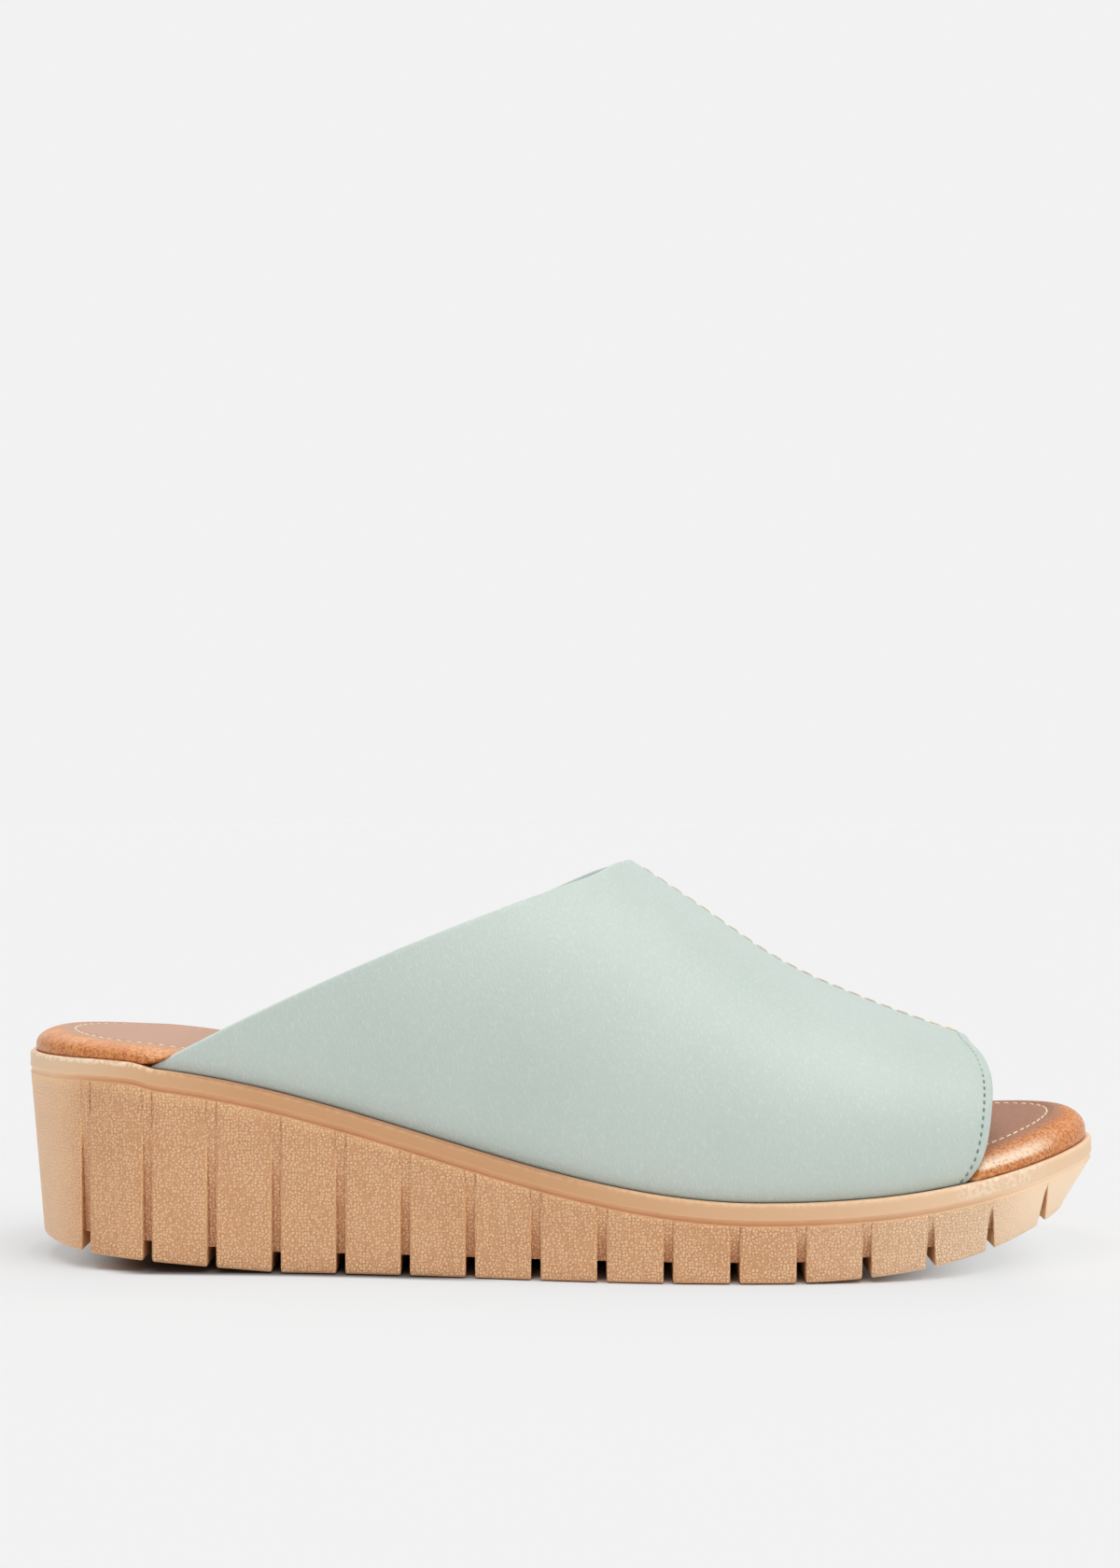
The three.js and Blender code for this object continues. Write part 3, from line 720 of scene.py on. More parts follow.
def footbed_z(x, y):
    """Height of the footbed's top: over the seat, rising to the toe, where it slopes down to
    the little-toe side, and cupped round the heel."""
    toe = ease(FOOTBED_RISE_FROM, FOOTBED_RISE_TO, x)
    half = BALL_WIDTH / 2 - ROLL_END
    fall = FOOTBED_TOE_FALL * toe * np.clip((half - y) / (2 * half), 0, 1)
    cup = FOOTBED_HEEL_CUP * (1 - ease(0, FOOTBED_CUP_RUN, x))
    return seat_z(x) + mix(FOOTBED_HEEL_RISE, FOOTBED_TOE_RISE, toe) - fall + cup


def opening_bow(rise):
    """How far the toe opening's edge stands forwards: full halfway up, none at its ends."""
    return OPENING_CROWN * (1 - np.abs(2 * rise - 1) ** OPENING_CROWN_FULLNESS)


def beside_upper(x, side, above):
    """1 where the upper's wall stands beside the footbed at a height above the seat, and 0
    past the wall's slanting edges at its back and front."""
    foot = np.where(side == LATERAL, UPPER_BACK_LATERAL, UPPER_BACK_MEDIAL)
    rise_back = np.clip(above / (APEX_RISE - HEEL_SEAT_RISE), 0, 1)
    rise_front = np.clip(above / (OPENING_RISE - seat_z(UPPER_FRONT)), 0, 1)
    back = mix(foot, APEX_X, rise_back) - EDGE_CLEARANCE
    front = mix(UPPER_FRONT, OPENING_X, rise_front) + opening_bow(rise_front)
    front = front + EDGE_CLEARANCE
    return within((back - WIDENING, back, front, front + WIDENING), x)


def footbed_level(roll, above, top_share=None, inset=None, over_rim=0.0):
    """One ring of the footbed: inside the rim, or on the roll, or at an inset of its own. The
    roll goes from its outer side (1) to its end (0) along a superellipse, and top_share is
    how far up the roll the ring stands. Without it the ring stands over_rim above the rim."""
    beside = beside_upper(fine_x, fine_side, above)
    side = RIM_WALL + FIT_GAP + (UPPER_WALL + FIT_GAP) * beside
    if roll is not None:
        swollen = side - (ROLL_OVERHANG + FIT_GAP) * (1 - beside)
        side = mix(ROLL_END, swollen, roll)
    if inset is not None:
        side = np.full_like(fine_x, inset)
    ring = ring_at(side, footbed_stations, END_STEPS)
    x = ring[:, 0]
    if top_share is None:
        z = rim_z(x) + over_rim
    else:
        z = mix(rim_z(x) + ROLL_BELLY, footbed_z(x, ring[:, 1]), top_share)
        z = z - seam_dip(inset)
    return np.column_stack([ring, z])


def seam_dip(inset):
    """Depth of the sewn channel at a distance from the outline: a bell curve."""
    if inset is None:
        return 0.0
    return SEAM_DEPTH * math.exp(-(((inset - SEAM_INSET) / SEAM_HALF_WIDTH) ** 2))


footbed_stations = np.linspace(16, 244, 190)
roll_shares = np.cos(np.linspace(0, 0.42, 12) * math.pi) ** (2 / ROLL_FULLNESS)
# From the pad's underside up to the swell's widest line: each ring's share of the roll, its
# height above the seat, and that over the rim
swell_rings = [
    (None, 0, FIT_GAP - CAVITY_DEPTH),
    (None, 0, 0.1),
    (0.97, 0.2, 0.02),
    (1.0, 0.5, 0.4),
    (1.0, 0.9, 0.85),
]
footbed_rings = [
    footbed_level(roll, above, over_rim=over_rim) for roll, above, over_rim in swell_rings
]
rings_on_top = [0.0] * len(footbed_rings)
for roll in roll_shares:
    top_share = (1 - roll**ROLL_FULLNESS) ** (1 / ROLL_FULLNESS)
    above = mix(ROLL_BELLY, FOOTBED_HEEL_RISE, top_share)
    footbed_rings.append(footbed_level(roll, above, top_share))
    rings_on_top.append(float(top_share))
flat_insets = np.concatenate(
    [
        np.linspace(SEAM_INSET - 1.6, SEAM_INSET + 1.8, 13),
        [SEAM_INSET + 2.6, SEAM_INSET + 4, SEAM_INSET + 7],
    ]
)
for inset in flat_insets:
    roll = max(0.0, (ROLL_END - inset) / (ROLL_END - RIM_WALL + ROLL_OVERHANG))
    top_share = (1 - roll**ROLL_FULLNESS) ** (1 / ROLL_FULLNESS)
    footbed_rings.append(footbed_level(None, FOOTBED_HEEL_RISE, top_share, inset))
    rings_on_top.append(1.0 if inset >= SEAM_INSET else 0.97)
footbed_points = np.stack(footbed_rings)
footbed_rows, footbed_columns = footbed_points.shape[:2]


def footbed_leather():
    """Burnished tan leather under a thin gloss: orange-brown with fine dark pores on the
    roll, browner and duller on top, with a paler painted reflection at the heel and low on the
    toe's roll, and painted shade where the roll meets the rim."""
    material, shader, place = new_finish(
        "footbed_leather", 0.45, Coat_Roughness=0.3, Specular_IOR_Level=0.35
    )
    on_top = place.mask("on_top")
    speckle = place.noise(0.7, 4.0)
    cloud = place.noise(6.0, 3.0).between(0.32, 0.68)
    side = speckle.between(0.34, 0.62).blend(rgb(166, 90, 42), rgb(220, 154, 92))
    # Painted reflection, paler, high on the roll at the heel
    heel_reflection = place.mask("heel") * on_top.between(0.3, 0.9) * 0.55
    side = heel_reflection.blend(side, rgb(236, 186, 146))
    side = (cloud * 0.4).blend(side, rgb(192, 108, 52))
    # Painted reflection, pale and speckled, low on the toe's roll
    rubbed_and_reflection = place.mask("rubbed_and_reflection") * on_top.between(0.85, 0.45) * on_top.between(0.08, 0.3)
    side = (rubbed_and_reflection * speckle.between(0.15, 0.5) * 0.9).blend(side, rgb(240, 212, 184))
    top = speckle.between(0.2, 0.8).blend(rgb(152, 106, 84), rgb(169, 123, 100))
    # Painted reflection, paler, on the top at the heel
    top = (place.mask("heel") * 0.7).blend(top, rgb(200, 162, 140))
    colour = on_top.between(0.8, 0.995).blend(side, top)
    # Painted shade where the roll meets the rim, weaker at the heel
    crease_shade = place.mask("crease_shade") * (0.75 - place.mask("heel") * 0.6)
    colour = crease_shade.blend(colour, rgb(120, 66, 34))
    grain = place.cells(0.7, "DISTANCE_TO_EDGE").between(0.0, 0.2)
    height = grain * (1 - on_top * 0.6)
    matt = on_top.between(0.5, 0.95)
    feed(shader, Base_Color=colour, Normal=height.bump(0.045, speckle.bump(0.05)))
    feed(shader, Coat_Weight=0.2 - matt * 0.19, Roughness=matt * 0.2 + 0.45)
    return material


footbed_faces = closed_faces(footbed_rows, footbed_columns)
footbed_x = footbed_points[..., 0]
# Painted shade on the lowest rings, where the roll meets the rim
crease_shade = np.zeros_like(footbed_x)
crease_shade[:3] = 1
footbed_masks = {
    "on_top": np.repeat(np.array(rings_on_top)[:, None], footbed_columns, 1),
    "rubbed_and_reflection": within(TOE_ROLL_REFLECTION, footbed_x),
    "crease_shade": crease_shade,
    "heel": 1 - ease(*HEEL_REFLECTION_TO, footbed_x),
}
footbed_pad = build_piece(
    "footbed_pad", footbed_points, footbed_faces, footbed_leather(), footbed_masks, 60
)
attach(footbed_pad, "root")
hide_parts("footbed")

# Upper. Two panels of smooth sage leather, 2 mm thick with their lining. The outer panel
# laps over the inner one along the instep and is sewn down there. The edges at the instep
# and the toes are folded over, and both feet are cemented into the sole's rim.
RIDGE_DRIFT = 2.5
TOP_LINE_CROWN = {LATERAL: 3.4, MEDIAL: 0.5}
UPPER_BACK = {LATERAL: UPPER_BACK_LATERAL, MEDIAL: UPPER_BACK_MEDIAL}
SIDE_SWELL = 1.4
INSTEP_FULLNESS = 2.0
OPENING_FULLNESS = 2.7
LAP_HEIGHT = 0.8
LAP_EDGE = 3.4
LAP_RAMP = 9.0
SHOULDER_RISE = {LATERAL: 0.95, MEDIAL: 0.7}  # rounding beside the apex, on each side
SHOULDER_RUN = {LATERAL: 2.6, MEDIAL: 9.0}  # how far from the apex it is highest
SHOULDER_SHARE = 0.05  # the share of the instep line over which it fades
FOLD = UPPER_WALL / 2
TURNED_IN = 9.0  # how far the folded leather reaches inside
UPPER_ROWS = 120
FOLD_TURNS = 7
ARCH_FINE = 500
ARCH_GATHER = 1.6  # how much the fine points gather towards the instep line
INSTEP_LINE = {
    "at": [0, 0.2, 0.4, 0.5, 0.6, 0.8, 1],
    "fall": [0, 0.256, 0.521, 0.629, 0.717, 0.869, 1],
}
inset_line = RIM_WALL + FIT_GAP
inset_ring = fine_ring + inset_line * fine_inward
inset_sides = {
    LATERAL: inset_ring[: FINE_STEPS + 1],
    MEDIAL: np.vstack([inset_ring[FINE_STEPS:], inset_ring[:1]])[::-1],
}


def arch(share, side):
    """Half a rib of the upper's outer face, from the instep line down to the rim, at each
    share of that line's length. It is a superellipse that leans from its foot to its place
    on the instep line, bowed up at the top line, forwards at the toe opening and out at
    the side. The apex has round shoulders: tt exp(2 - 2t) of the distance t from it. Returns
    an array of ribs, stops and x, y, z."""
    angle = (1 - np.linspace(0, 1, ARCH_FINE) ** ARCH_GATHER)[None] * math.pi / 2
    share = share[:, None]
    power = 2 / mix(INSTEP_FULLNESS, OPENING_FULLNESS, share)
    rise = np.sin(angle) ** power
    spread = np.clip(np.cos(angle), 0, 1) ** power
    foot_x = mix(UPPER_BACK[side], UPPER_FRONT, share)
    ridge_z = mix(APEX_RISE, OPENING_RISE, through(INSTEP_LINE, "fall", share))
    x = mix(foot_x, mix(APEX_X, OPENING_X, share), rise) + share * opening_bow(rise)
    crown = TOP_LINE_CROWN[side] * (1 - share) * 4 * rise * (1 - rise)
    below_apex = (1 - rise) * (APEX_X - foot_x) / SHOULDER_RUN[side]
    shoulder = SHOULDER_RISE[side] * below_apex**2 * np.exp(2 - 2 * below_apex)
    shoulder = shoulder * np.exp(-((share / SHOULDER_SHARE) ** 2))
    z = mix(seat_z(foot_x), ridge_z, rise) + crown + shoulder
    swell = side * SIDE_SWELL * np.sin(math.pi * rise) * spread
    line = inset_sides[side]
    y = mix(RIDGE_DRIFT, np.interp(x, line[:, 0], line[:, 1]), spread) + swell
    return np.stack([x, y, z], -1)


# Columns across the upper, by their distance from the instep line: fixed beside the lap's
# edge, and shares of what is left below it
near_seam = {
    LATERAL: np.array([0, 0.8, 1.8, 3, 4.5, 6, 7.5, LAP_RAMP]),
    MEDIAL: np.array(
        [0.7, 1.3, 1.9, 2.5, 3.05, LAP_EDGE - 0.12, LAP_EDGE, LAP_EDGE + 0.05]
        + [LAP_EDGE + 0.12, LAP_EDGE + 0.4, 4.5, 5.6, 7.2, LAP_RAMP]
    ),
}
SIDE_COLUMNS = 62
TUCK = np.array([0.9, 0.45])  # the last stops above the rim
ABOVE_TUCK = 1.6
lap_profile = {
    LATERAL: LAP_HEIGHT * (1 - ease(0, LAP_RAMP, near_seam[LATERAL])),
    MEDIAL: np.array([1, 1, 1, 1, 1, 0.97, 0.8, 0.2, 0.04, 0, 0, 0, 0, 0]) * LAP_HEIGHT,
}


def side_ribs(share, side):
    """One side's ribs, cut at the columns' distances along each rib: beside the lap, evenly
    below it, and close above the rim."""
    fine = arch(share, side)
    steps = np.linalg.norm(np.diff(fine, axis=1), axis=2)
    run = np.concatenate([np.zeros((len(share), 1)), np.cumsum(steps, axis=1)], axis=1)
    below = np.linspace(0, 1, SIDE_COLUMNS - len(TUCK) + 1)[1:-1]
    cuts = [
        np.concatenate(
            [near_seam[side], mix(LAP_RAMP, length - ABOVE_TUCK, below), length - TUCK, [length]]
        )
        for length in run[:, -1]
    ]
    ribs = [
        np.stack([np.interp(cut, length, rib[:, k]) for k in range(3)], 1)
        for cut, length, rib in zip(cuts, run, fine)
    ]
    return np.stack(ribs)


def upper_ribs(share):
    """Whole ribs from the lateral foot over the instep to the medial foot, each foot going
    straight down into the rim."""
    ribs = np.concatenate(
        [side_ribs(share, LATERAL)[:, ::-1], side_ribs(share, MEDIAL)], axis=1
    )
    feet = []
    for edge in (ribs[:, :1], ribs[:, -1:]):
        foot = edge.copy()
        foot[..., 2] = seat_z(edge[..., 0]) - CAVITY_DEPTH + FIT_GAP
        feet.append(foot)
    return np.concatenate([feet[0], ribs, feet[1]], axis=1)


# The outer face, how much the lap lifts each column, and the face's directions forwards and
# outwards, from neighbouring ribs and columns
share_rows = np.linspace(0, 1, UPPER_ROWS)
share_step = 0.002
outer = upper_ribs(share_rows)
rib_lift = np.concatenate(
    [
        np.zeros(SIDE_COLUMNS + 1),
        lap_profile[LATERAL][::-1],
        lap_profile[MEDIAL],
        np.zeros(SIDE_COLUMNS + 1),
    ]
)
forwards = upper_ribs(share_rows + share_step) - upper_ribs(share_rows - share_step)
forwards /= np.linalg.norm(forwards, axis=2, keepdims=True)
sideways = np.gradient(outer, axis=1)
outward = np.cross(forwards, sideways)
outward[:, [0, 1, -2, -1], 2] = 0
outward /= np.linalg.norm(outward, axis=2, keepdims=True)


def wall_row(row, along, depth, lift):
    """A row of the upper's wall: a rib moved forwards by along, inwards by depth and
    outwards by each column's lift."""
    return outer[row] + forwards[row] * along + outward[row] * (lift - depth)[:, None]


def fold_rows(row, heading):
    """The folded edge: half a circle from the outer face round to the inner face. Its
    middle is the true edge, and heading says which way the edge looks."""
    turns = np.linspace(0, math.pi, FOLD_TURNS)
    return [
        wall_row(
            row,
            -heading * FOLD * (1 - math.sin(turn)),
            FOLD * (1 - math.cos(turn)),
            rib_lift * (1 + math.cos(turn)) / 2,
        )
        for turn in turns
    ]


inner_rows = range(UPPER_ROWS - 3, 1, -3)
upper_rows = [wall_row(row, 0, 0, rib_lift) for row in range(2, UPPER_ROWS - 2)]
outer_count = len(upper_rows)
upper_rows += fold_rows(UPPER_ROWS - 1, 1)
upper_rows += [wall_row(row, 0, UPPER_WALL, 0 * rib_lift) for row in inner_rows]
upper_rows += fold_rows(0, -1)[::-1]
upper_points = np.stack(upper_rows)
upper_row_count, upper_column_count = upper_points.shape[:2]


def loop_faces(rows, columns):
    """Quads of a wall whose rows close on themselves, facing outwards on its outer face."""
    here = np.arange(rows)
    following = (here + 1) % rows
    column = np.arange(columns - 1)
    low = here[:, None] * columns + column
    high = following[:, None] * columns + column
    return np.stack([low, high, high + 1, low + 1], -1).reshape(-1, 4)


def foot_faces(rows, columns):
    """One face for each foot: the wall's section there, as a ring of the rows' end points."""
    ends = np.arange(rows) * columns
    return [ends.tolist(), (ends + columns - 1)[::-1].tolist()]


# Where the inner face is, and each point's way from it to the two folded edges
row_share = np.concatenate(
    [
        share_rows[2 : UPPER_ROWS - 2],
        np.ones(FOLD_TURNS),
        share_rows[list(inner_rows)],
        np.zeros(FOLD_TURNS),
    ]
)
inside = np.zeros((upper_row_count, upper_column_count))
inside[outer_count + FOLD_TURNS : upper_row_count - FOLD_TURNS] = 1
column_length = np.linalg.norm(outer[-1] - outer[0], axis=1)
to_opening = (1 - row_share)[:, None] * column_length
to_top_line = row_share[:, None] * column_length


def upper_leather():
    """Smooth sage leather, softly glossy, with a fine grain of short upright wrinkles whose
    crests carry painted glints. It has a painted highlight along the folded top line and
    painted shade where it goes into the rim. It turns inside by a finger's width, and the
    lining below is beige."""
    material, shader, place = new_finish("upper_leather", 0.46, Specular_IOR_Level=0.45)
    cloud = place.noise(38.0, 2.0).between(0.3, 0.7)
    sage = cloud.blend(rgb(180, 192, 184), rgb(184, 195, 188))
    drawn = place.stretched(1.0, 0.5, 0.42)
    wrinkle = drawn.noise(0.45, 2.0)
    pores = drawn.cells(0.55, "DISTANCE_TO_EDGE").between(0.0, 0.25)
    # Painted glints on the crests of the grain's wrinkles
    glinted = (wrinkle.between(0.52, 0.66) * 0.26).blend(sage, rgb(208, 216, 210))
    # A painted highlight along the folded top line
    folded = (place.mask("fold_highlight") * 0.5).blend(glinted, rgb(206, 216, 210))
    lining = place.mask("lined").blend(folded, rgb(205, 186, 160))
    # Painted shade where the upper goes into the rim
    shadowed = (place.mask("rim_gap_shade") * 0.85).blend(lining, rgb(52, 42, 34))
    height = wrinkle * 0.7 + pores * 0.3
    feed(shader, Base_Color=shadowed, Normal=height.bump(0.1))
    return material


# Painted shade on the upper's lowest columns, in the gap above the rim
rim_gap_shade = np.zeros(upper_column_count)
rim_gap_shade[[0, 1, -2, -1]] = 1
rim_gap_shade[[2, -3]] = 0.25
rim_gap_shade = np.tile(rim_gap_shade, (upper_row_count, 1))
lined = inside * ease(TURNED_IN, TURNED_IN + 0.6, np.minimum(to_opening, to_top_line))
upper_faces = loop_faces(upper_row_count, upper_column_count).tolist()
upper_faces += foot_faces(upper_row_count, upper_column_count)
# Painted highlight on the rows round the top line's folded edge
fold_highlight = np.zeros_like(inside)
fold_highlight[-FOLD_TURNS + 2 : -1] = 1
upper_masks = {"lined": lined, "rim_gap_shade": rim_gap_shade, "fold_highlight": fold_highlight}
upper_shell = build_piece(
    "upper_shell", upper_points, upper_faces, upper_leather(), upper_masks, 50
)
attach(upper_shell, "root")
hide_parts("upper")

# Stitches. Polyester thread, sewn by machine: cream and thick along the instep lap, sage and
# fine beside the toe opening, cream round the footbed. Each stitch is a short length of
# thread that lies on the leather and dives into it at both ends.
STITCH_STEPS = 7
STITCH_SIDES = 6
THINNING = 0.9  # share of its radius that a stitch loses at its ends
DIVE = 0.7  # depth of its ends in the leather, in radii
OPENING_MARGIN = 3.0  # from the toe opening's edge to its stitches
RUBBED_RUN = 4.0  # height over which rubbed thread changes colour


def stitch_row(name, path, normals, material, pitch, length, radius, stand=0.5):
    """Stitches along a path, each a tube along its chord. From its middle to its ends it
    thins by a fifth power, and its line dives by a fourth power from stand radii above the
    leather."""
    run = np.append(0, np.cumsum(np.linalg.norm(np.diff(path, axis=0), axis=1)))
    count = int((run[-1] - length) / pitch) + 1
    middles = run[-1] / 2 + (np.arange(count) - (count - 1) / 2) * pitch
    reach = np.linspace(-1, 1, STITCH_STEPS)
    stops = middles[:, None] + reach * length / 2
    line = np.stack([np.interp(stops, run, path[:, k]) for k in range(3)], -1)
    up = np.stack([np.interp(stops, run, normals[:, k]) for k in range(3)], -1)
    up /= np.linalg.norm(up, axis=-1, keepdims=True)
    along = line[:, -1:] - line[:, :1]
    along = along / np.linalg.norm(along, axis=-1, keepdims=True)
    across = np.cross(up, np.broadcast_to(along, up.shape))
    thick = radius * (1 - THINNING * np.abs(reach) ** 5)
    line = line + up * (radius * (stand - (stand + DIVE) * reach**4))[None, :, None]
    turn = np.arange(STITCH_SIDES) * 2 * math.pi / STITCH_SIDES
    spokes = (
        up[:, :, None] * np.cos(turn)[:, None] + across[:, :, None] * np.sin(turn)[:, None]
    )
    points = line[:, :, None] + spokes * thick[None, :, None, None]
    block = STITCH_STEPS * STITCH_SIDES
    sides = ring_faces(STITCH_STEPS, STITCH_SIDES)[:, ::-1]
    faces = (sides[None] + block * np.arange(count)[:, None, None]).reshape(-1, 4).tolist()
    for first in range(0, count * block, block):
        start = list(range(first, first + STITCH_SIDES))
        faces.append(start)
        faces.append([k + block - STITCH_SIDES for k in start[::-1]])
    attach(build_piece(name, points, faces, material, sharp_over=70), "root")


def thread(name, colour, shade, rubbed_and_reflection, rubbed_above):
    """Twisted thread: fine slanting bands of light and shade, matt. Above a height it is worn
    by rubbing to another colour."""
    material, shader, place = new_finish(name, 0.7)
    twist = place.stretched(1.0, 0.6, 1.4).noise(0.35, 1.0).between(0.35, 0.65)
    high = place.part("Z").between(rubbed_above * MM, (rubbed_above + RUBBED_RUN) * MM)
    twisted = twist.blend(shade, colour)
    feed(shader, Base_Color=high.blend(twisted, rubbed_and_reflection), Normal=twist.bump(0.05))
    return material


cream_thread = thread(
    "cream_thread", rgb(250, 238, 212), rgb(222, 192, 146), rgb(212, 202, 186), 53
)
sage_thread = thread(
    "sage_thread", rgb(120, 146, 132), rgb(92, 118, 104), rgb(180, 194, 184), 43.5
)

# Along the lap, on the third column past the instep line
crest = SIDE_COLUMNS + 1 + len(near_seam[LATERAL]) + 2
crest_up = outward[3:-1, crest]
crest_path = outer[3:-1, crest] + crest_up * LAP_HEIGHT
crest_sizes = {"pitch": 4.25, "length": 4.05, "radius": 0.3}
stitch_row("instep_stitches", crest_path, crest_up, cream_thread, **crest_sizes)

# Beside the toe opening
opening_up = outward[-1, 2:-2]
opening_path = outer[-1, 2:-2] - forwards[-1, 2:-2] * OPENING_MARGIN
opening_path = opening_path + opening_up * rib_lift[2:-2, None]
opening_sizes = {"pitch": 2.0, "length": 1.2, "radius": 0.24, "stand": 0.1}
stitch_row("opening_stitches", opening_path, opening_up, sage_thread, **opening_sizes)

# Round the footbed, in its sewn channel
channel = np.argmin(np.abs(flat_insets - SEAM_INSET)) - len(flat_insets)
channel_path = np.vstack([footbed_points[channel], footbed_points[channel][:1]])
channel_up = np.tile([0.0, 0.0, 1.0], (len(channel_path), 1))
channel_sizes = {"pitch": 2.75, "length": 2.1, "radius": 0.27}
stitch_row("footbed_stitches", channel_path, channel_up, cream_thread, **channel_sizes)

# Stage. A pale studio table under an even sky, with a broad soft lamp overhead, a key lamp on
# the toe's side, a weak lamp in front and a white sheet behind. The table glows a little with
# painted light, which also lights the sandal from below, so that the shadow stays close to
# the sole.
FLOOR_DROP = 0.2
FLOOR_REACHES = [-9, -5, -3, -2, -1, 0, 1, 3, 6, 10, 16, 26, 45, 80, 150, 400, 1500, 7000]
FLOOR_COLUMN_STEP = 10
FLOOR_ROUND = 26.0  # past this reach the floor's rings open out from the middle
FLOOR_GLOW = 0.7
GLOW_FROM = (-1.6, 0.9)  # the reaches between which it sets in
GLOW_BEHIND = 0.85
BEHIND_TO_FRONT = (-45, -15)
GLOW_UNDER_TOE = [(0.78, 196, 232), (0.14, 232, 250)]  # share, and x where it grows
GLOW_UNDER_HEEL = (0.5, 8, 28)
GLOW_FADE = 30.0
SHADE_FADE = 28.0
SHADE_AT_HEEL = (0.6, -20, 20)  # share of the shade beside the middle, and x where it grows
SHADE_AT_TIP = (0.2, 225, 250)
CONTACT_WIDTH = 1.4  # of the painted contact shadow where the lugs stand on the floor
CONTACT_FROM_HEEL = (22, 34, 96, 120)
FLOOR_SHADE = (0.895, 0.905, 0.915)  # how bright the painted shade leaves the floor close beside the sole
CONTACT_SHADOW_COLOUR = rgb(60, 42, 32)
SKY_SEEN = rgb(242, 242, 242)[:3]
SKY_LIGHT = (0.29, 0.30, 0.315)
GLOW_GIVEN = 1.6  # times the seen glow that lights the sandal
LAMPS = {
    "overhead": {"towards": (0.0, 0.2, -1.0), "power": (2.1, 2.1, 2.08), "spread": 50},
    "key": {"towards": (-0.55, 0.3, -0.78), "power": (0.89, 0.88, 0.86), "spread": 50},
    "front": {"towards": (-0.2, 0.95, -0.25), "power": (0.23, 0.23, 0.23), "spread": 70},
}
BACKDROP = {"towards": (0.0, -1.0, -0.35), "power": (1.45, 1.47, 1.5), "spread": 110}


def lamp_on_floor(lamp):
    """A lamp's light on the open floor: its power times its slope, over pi."""
    slope = -lamp["towards"][2] / np.linalg.norm(lamp["towards"])
    return np.array(lamp["power"]) * slope / math.pi


reaches = np.array(FLOOR_REACHES, float)[:, None, None]
near_reach = np.minimum(reaches, FLOOR_ROUND)
from_middle = fine_ring[::FLOOR_COLUMN_STEP] - [SOLE_LENGTH / 2, 0]
from_middle = from_middle / np.linalg.norm(from_middle, axis=1, keepdims=True)
floor_plan = fine_ring[::FLOOR_COLUMN_STEP] - near_reach * fine_inward[::FLOOR_COLUMN_STEP]
floor_plan = floor_plan + (reaches - near_reach) * from_middle
floor_points = np.dstack([floor_plan, np.full(floor_plan.shape[:2], -FLOOR_DROP)])
floor_columns = floor_plan.shape[1]
floor_faces = ring_faces(len(FLOOR_REACHES), floor_columns)[:, ::-1].tolist()
floor_faces += cap_faces(0, floor_columns, True)

# Where the floor glows with painted light, for the camera and as light on the sandal, and
# where it has painted shade and a painted contact shadow
floor_x = floor_plan[..., 0]
floor_y = floor_plan[..., 1]
beside = np.clip(reaches[..., 0], 0, None)
outside = ease(*GLOW_FROM, reaches[..., 0])
in_front = mix(GLOW_BEHIND, 1, 1 - ease(*BEHIND_TO_FRONT, floor_y))
glow_given = FLOOR_GLOW * outside * in_front
under_toe = sum(share * ease(*growing, floor_x) for share, *growing in GLOW_UNDER_TOE)
under_heel = GLOW_UNDER_HEEL[0] * (1 - ease(*GLOW_UNDER_HEEL[1:], floor_x))
under_ends = (under_toe + under_heel) * np.exp(-beside / GLOW_FADE)
open_ends = mix(SHADE_AT_HEEL[0], 1, ease(*SHADE_AT_HEEL[1:], floor_x))
open_ends = open_ends * mix(1, SHADE_AT_TIP[0], ease(*SHADE_AT_TIP[1:], floor_x))
shade = np.exp(-beside / SHADE_FADE) * open_ends
# Painted contact shadow along the lugs' foot, on the lateral side from heel to middle
contact_shadow = np.exp(-((beside / CONTACT_WIDTH) ** 2)) * within(CONTACT_FROM_HEEL, floor_x)
contact_shadow = contact_shadow * (floor_y < 0)

# The floor's colour is worked out from the light, so that it is as bright as the background
floor_paint, floor_shader, floor_place = new_finish("floor_paint", 0.9, Specular_IOR_Level=0)
floor_light = SKY_LIGHT + sum(lamp_on_floor(lamp) for lamp in LAMPS.values())
floor_albedo = np.array(SKY_SEEN) / floor_light
shade_here = floor_place.mask("shade")
contact_here = floor_place.mask("contact_shadow") * 0.8


def shaded(colour):
    """A colour of the floor, with painted shade beside the sole and a painted shadow where the
    sole meets it.
    """
    tones = (colour, colour * FLOOR_SHADE)
    open_floor, beside_sole = [
        contact_here.blend((*tone.tolist(), 1), CONTACT_SHADOW_COLOUR) for tone in tones
    ]
    return shade_here.blend(open_floor, beside_sole)


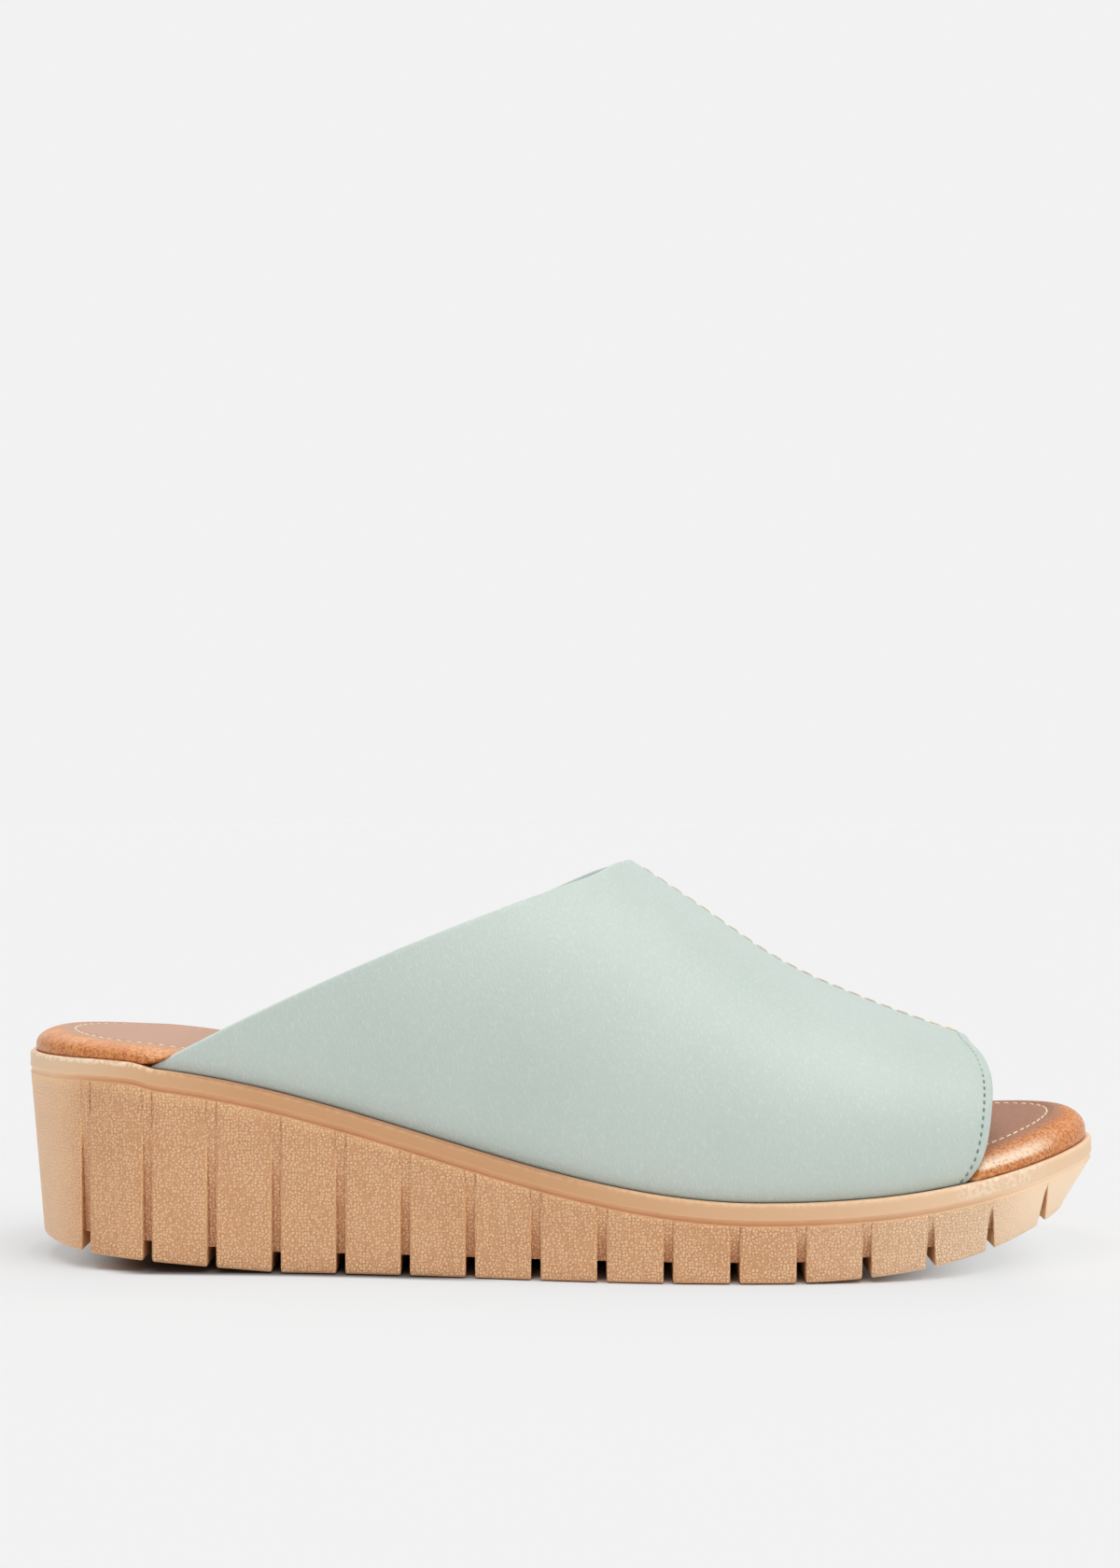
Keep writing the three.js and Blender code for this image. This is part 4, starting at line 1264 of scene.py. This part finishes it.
feed(floor_shader, Base_Color=shaded(floor_albedo))
seen_directly = floor_place.node("LightPath", {}, {}, "Is Camera Ray")
seen_glow = floor_place.node("Emission", {}, {"Color": shaded(np.array(SKY_SEEN))})
given_glow = floor_place.node(
    "Emission", {}, {"Color": (*SKY_SEEN, 1), "Strength": GLOW_GIVEN}
)
glow = floor_place.node("MixShader", {}, {0: seen_directly, 1: given_glow, 2: seen_glow})
painted = Wire(floor_place.tree, floor_shader.outputs[0])
glow_share = seen_directly * floor_place.mask("glow_seen")
glow_share = glow_share + (1 - seen_directly) * floor_place.mask("glow_given")
lit_floor = floor_place.node("MixShader", {}, {0: glow_share, 1: painted, 2: glow})
lit_floor.shown_by("Material Output")
floor_masks = {
    "glow_seen": np.maximum(glow_given, under_ends),
    "glow_given": glow_given,
    "shade": shade,
    "contact_shadow": contact_shadow,
}
floor = build_piece("floor", floor_points, floor_faces, floor_paint, floor_masks)

# The sky gives one light, and the camera sees another colour
world = bpy.data.worlds.new("studio")
world.use_nodes = True
bpy.context.scene.world = world
background = world.node_tree.nodes["Background"]
background.inputs["Color"].default_value = (*SKY_SEEN, 1)
seen = Wire(world.node_tree, background.outputs[0])
lighting = seen.node("Background", {}, {"Color": (*SKY_LIGHT, 1)})
camera_ray = seen.node("LightPath", {}, {}, "Is Camera Ray")
sky = seen.node("MixShader", {}, {0: camera_ray, 1: lighting, 2: seen})
sky.shown_by("World Output")


def hang_lamp(name, lamp):
    """A distant soft lamp that shines along its direction."""
    light = bpy.data.lights.new(name, "SUN")
    light.energy = 1.0
    light.color = lamp["power"]
    light.angle = math.radians(lamp["spread"])
    hung = bpy.data.objects.new(name, light)
    x, y, z = lamp["towards"]
    hung.rotation_euler = (math.acos(-z / math.hypot(x, y, z)), 0, math.atan2(y, x) - math.pi / 2)
    bpy.context.scene.collection.objects.link(hung)
    return hung


for lamp_name, lamp in LAMPS.items():
    hang_lamp(lamp_name, lamp)
# The white sheet behind the sandal, which shows only in its gloss
hang_lamp("backdrop", BACKDROP).visible_diffuse = False

bpy.context.scene.view_settings.view_transform = "Standard"
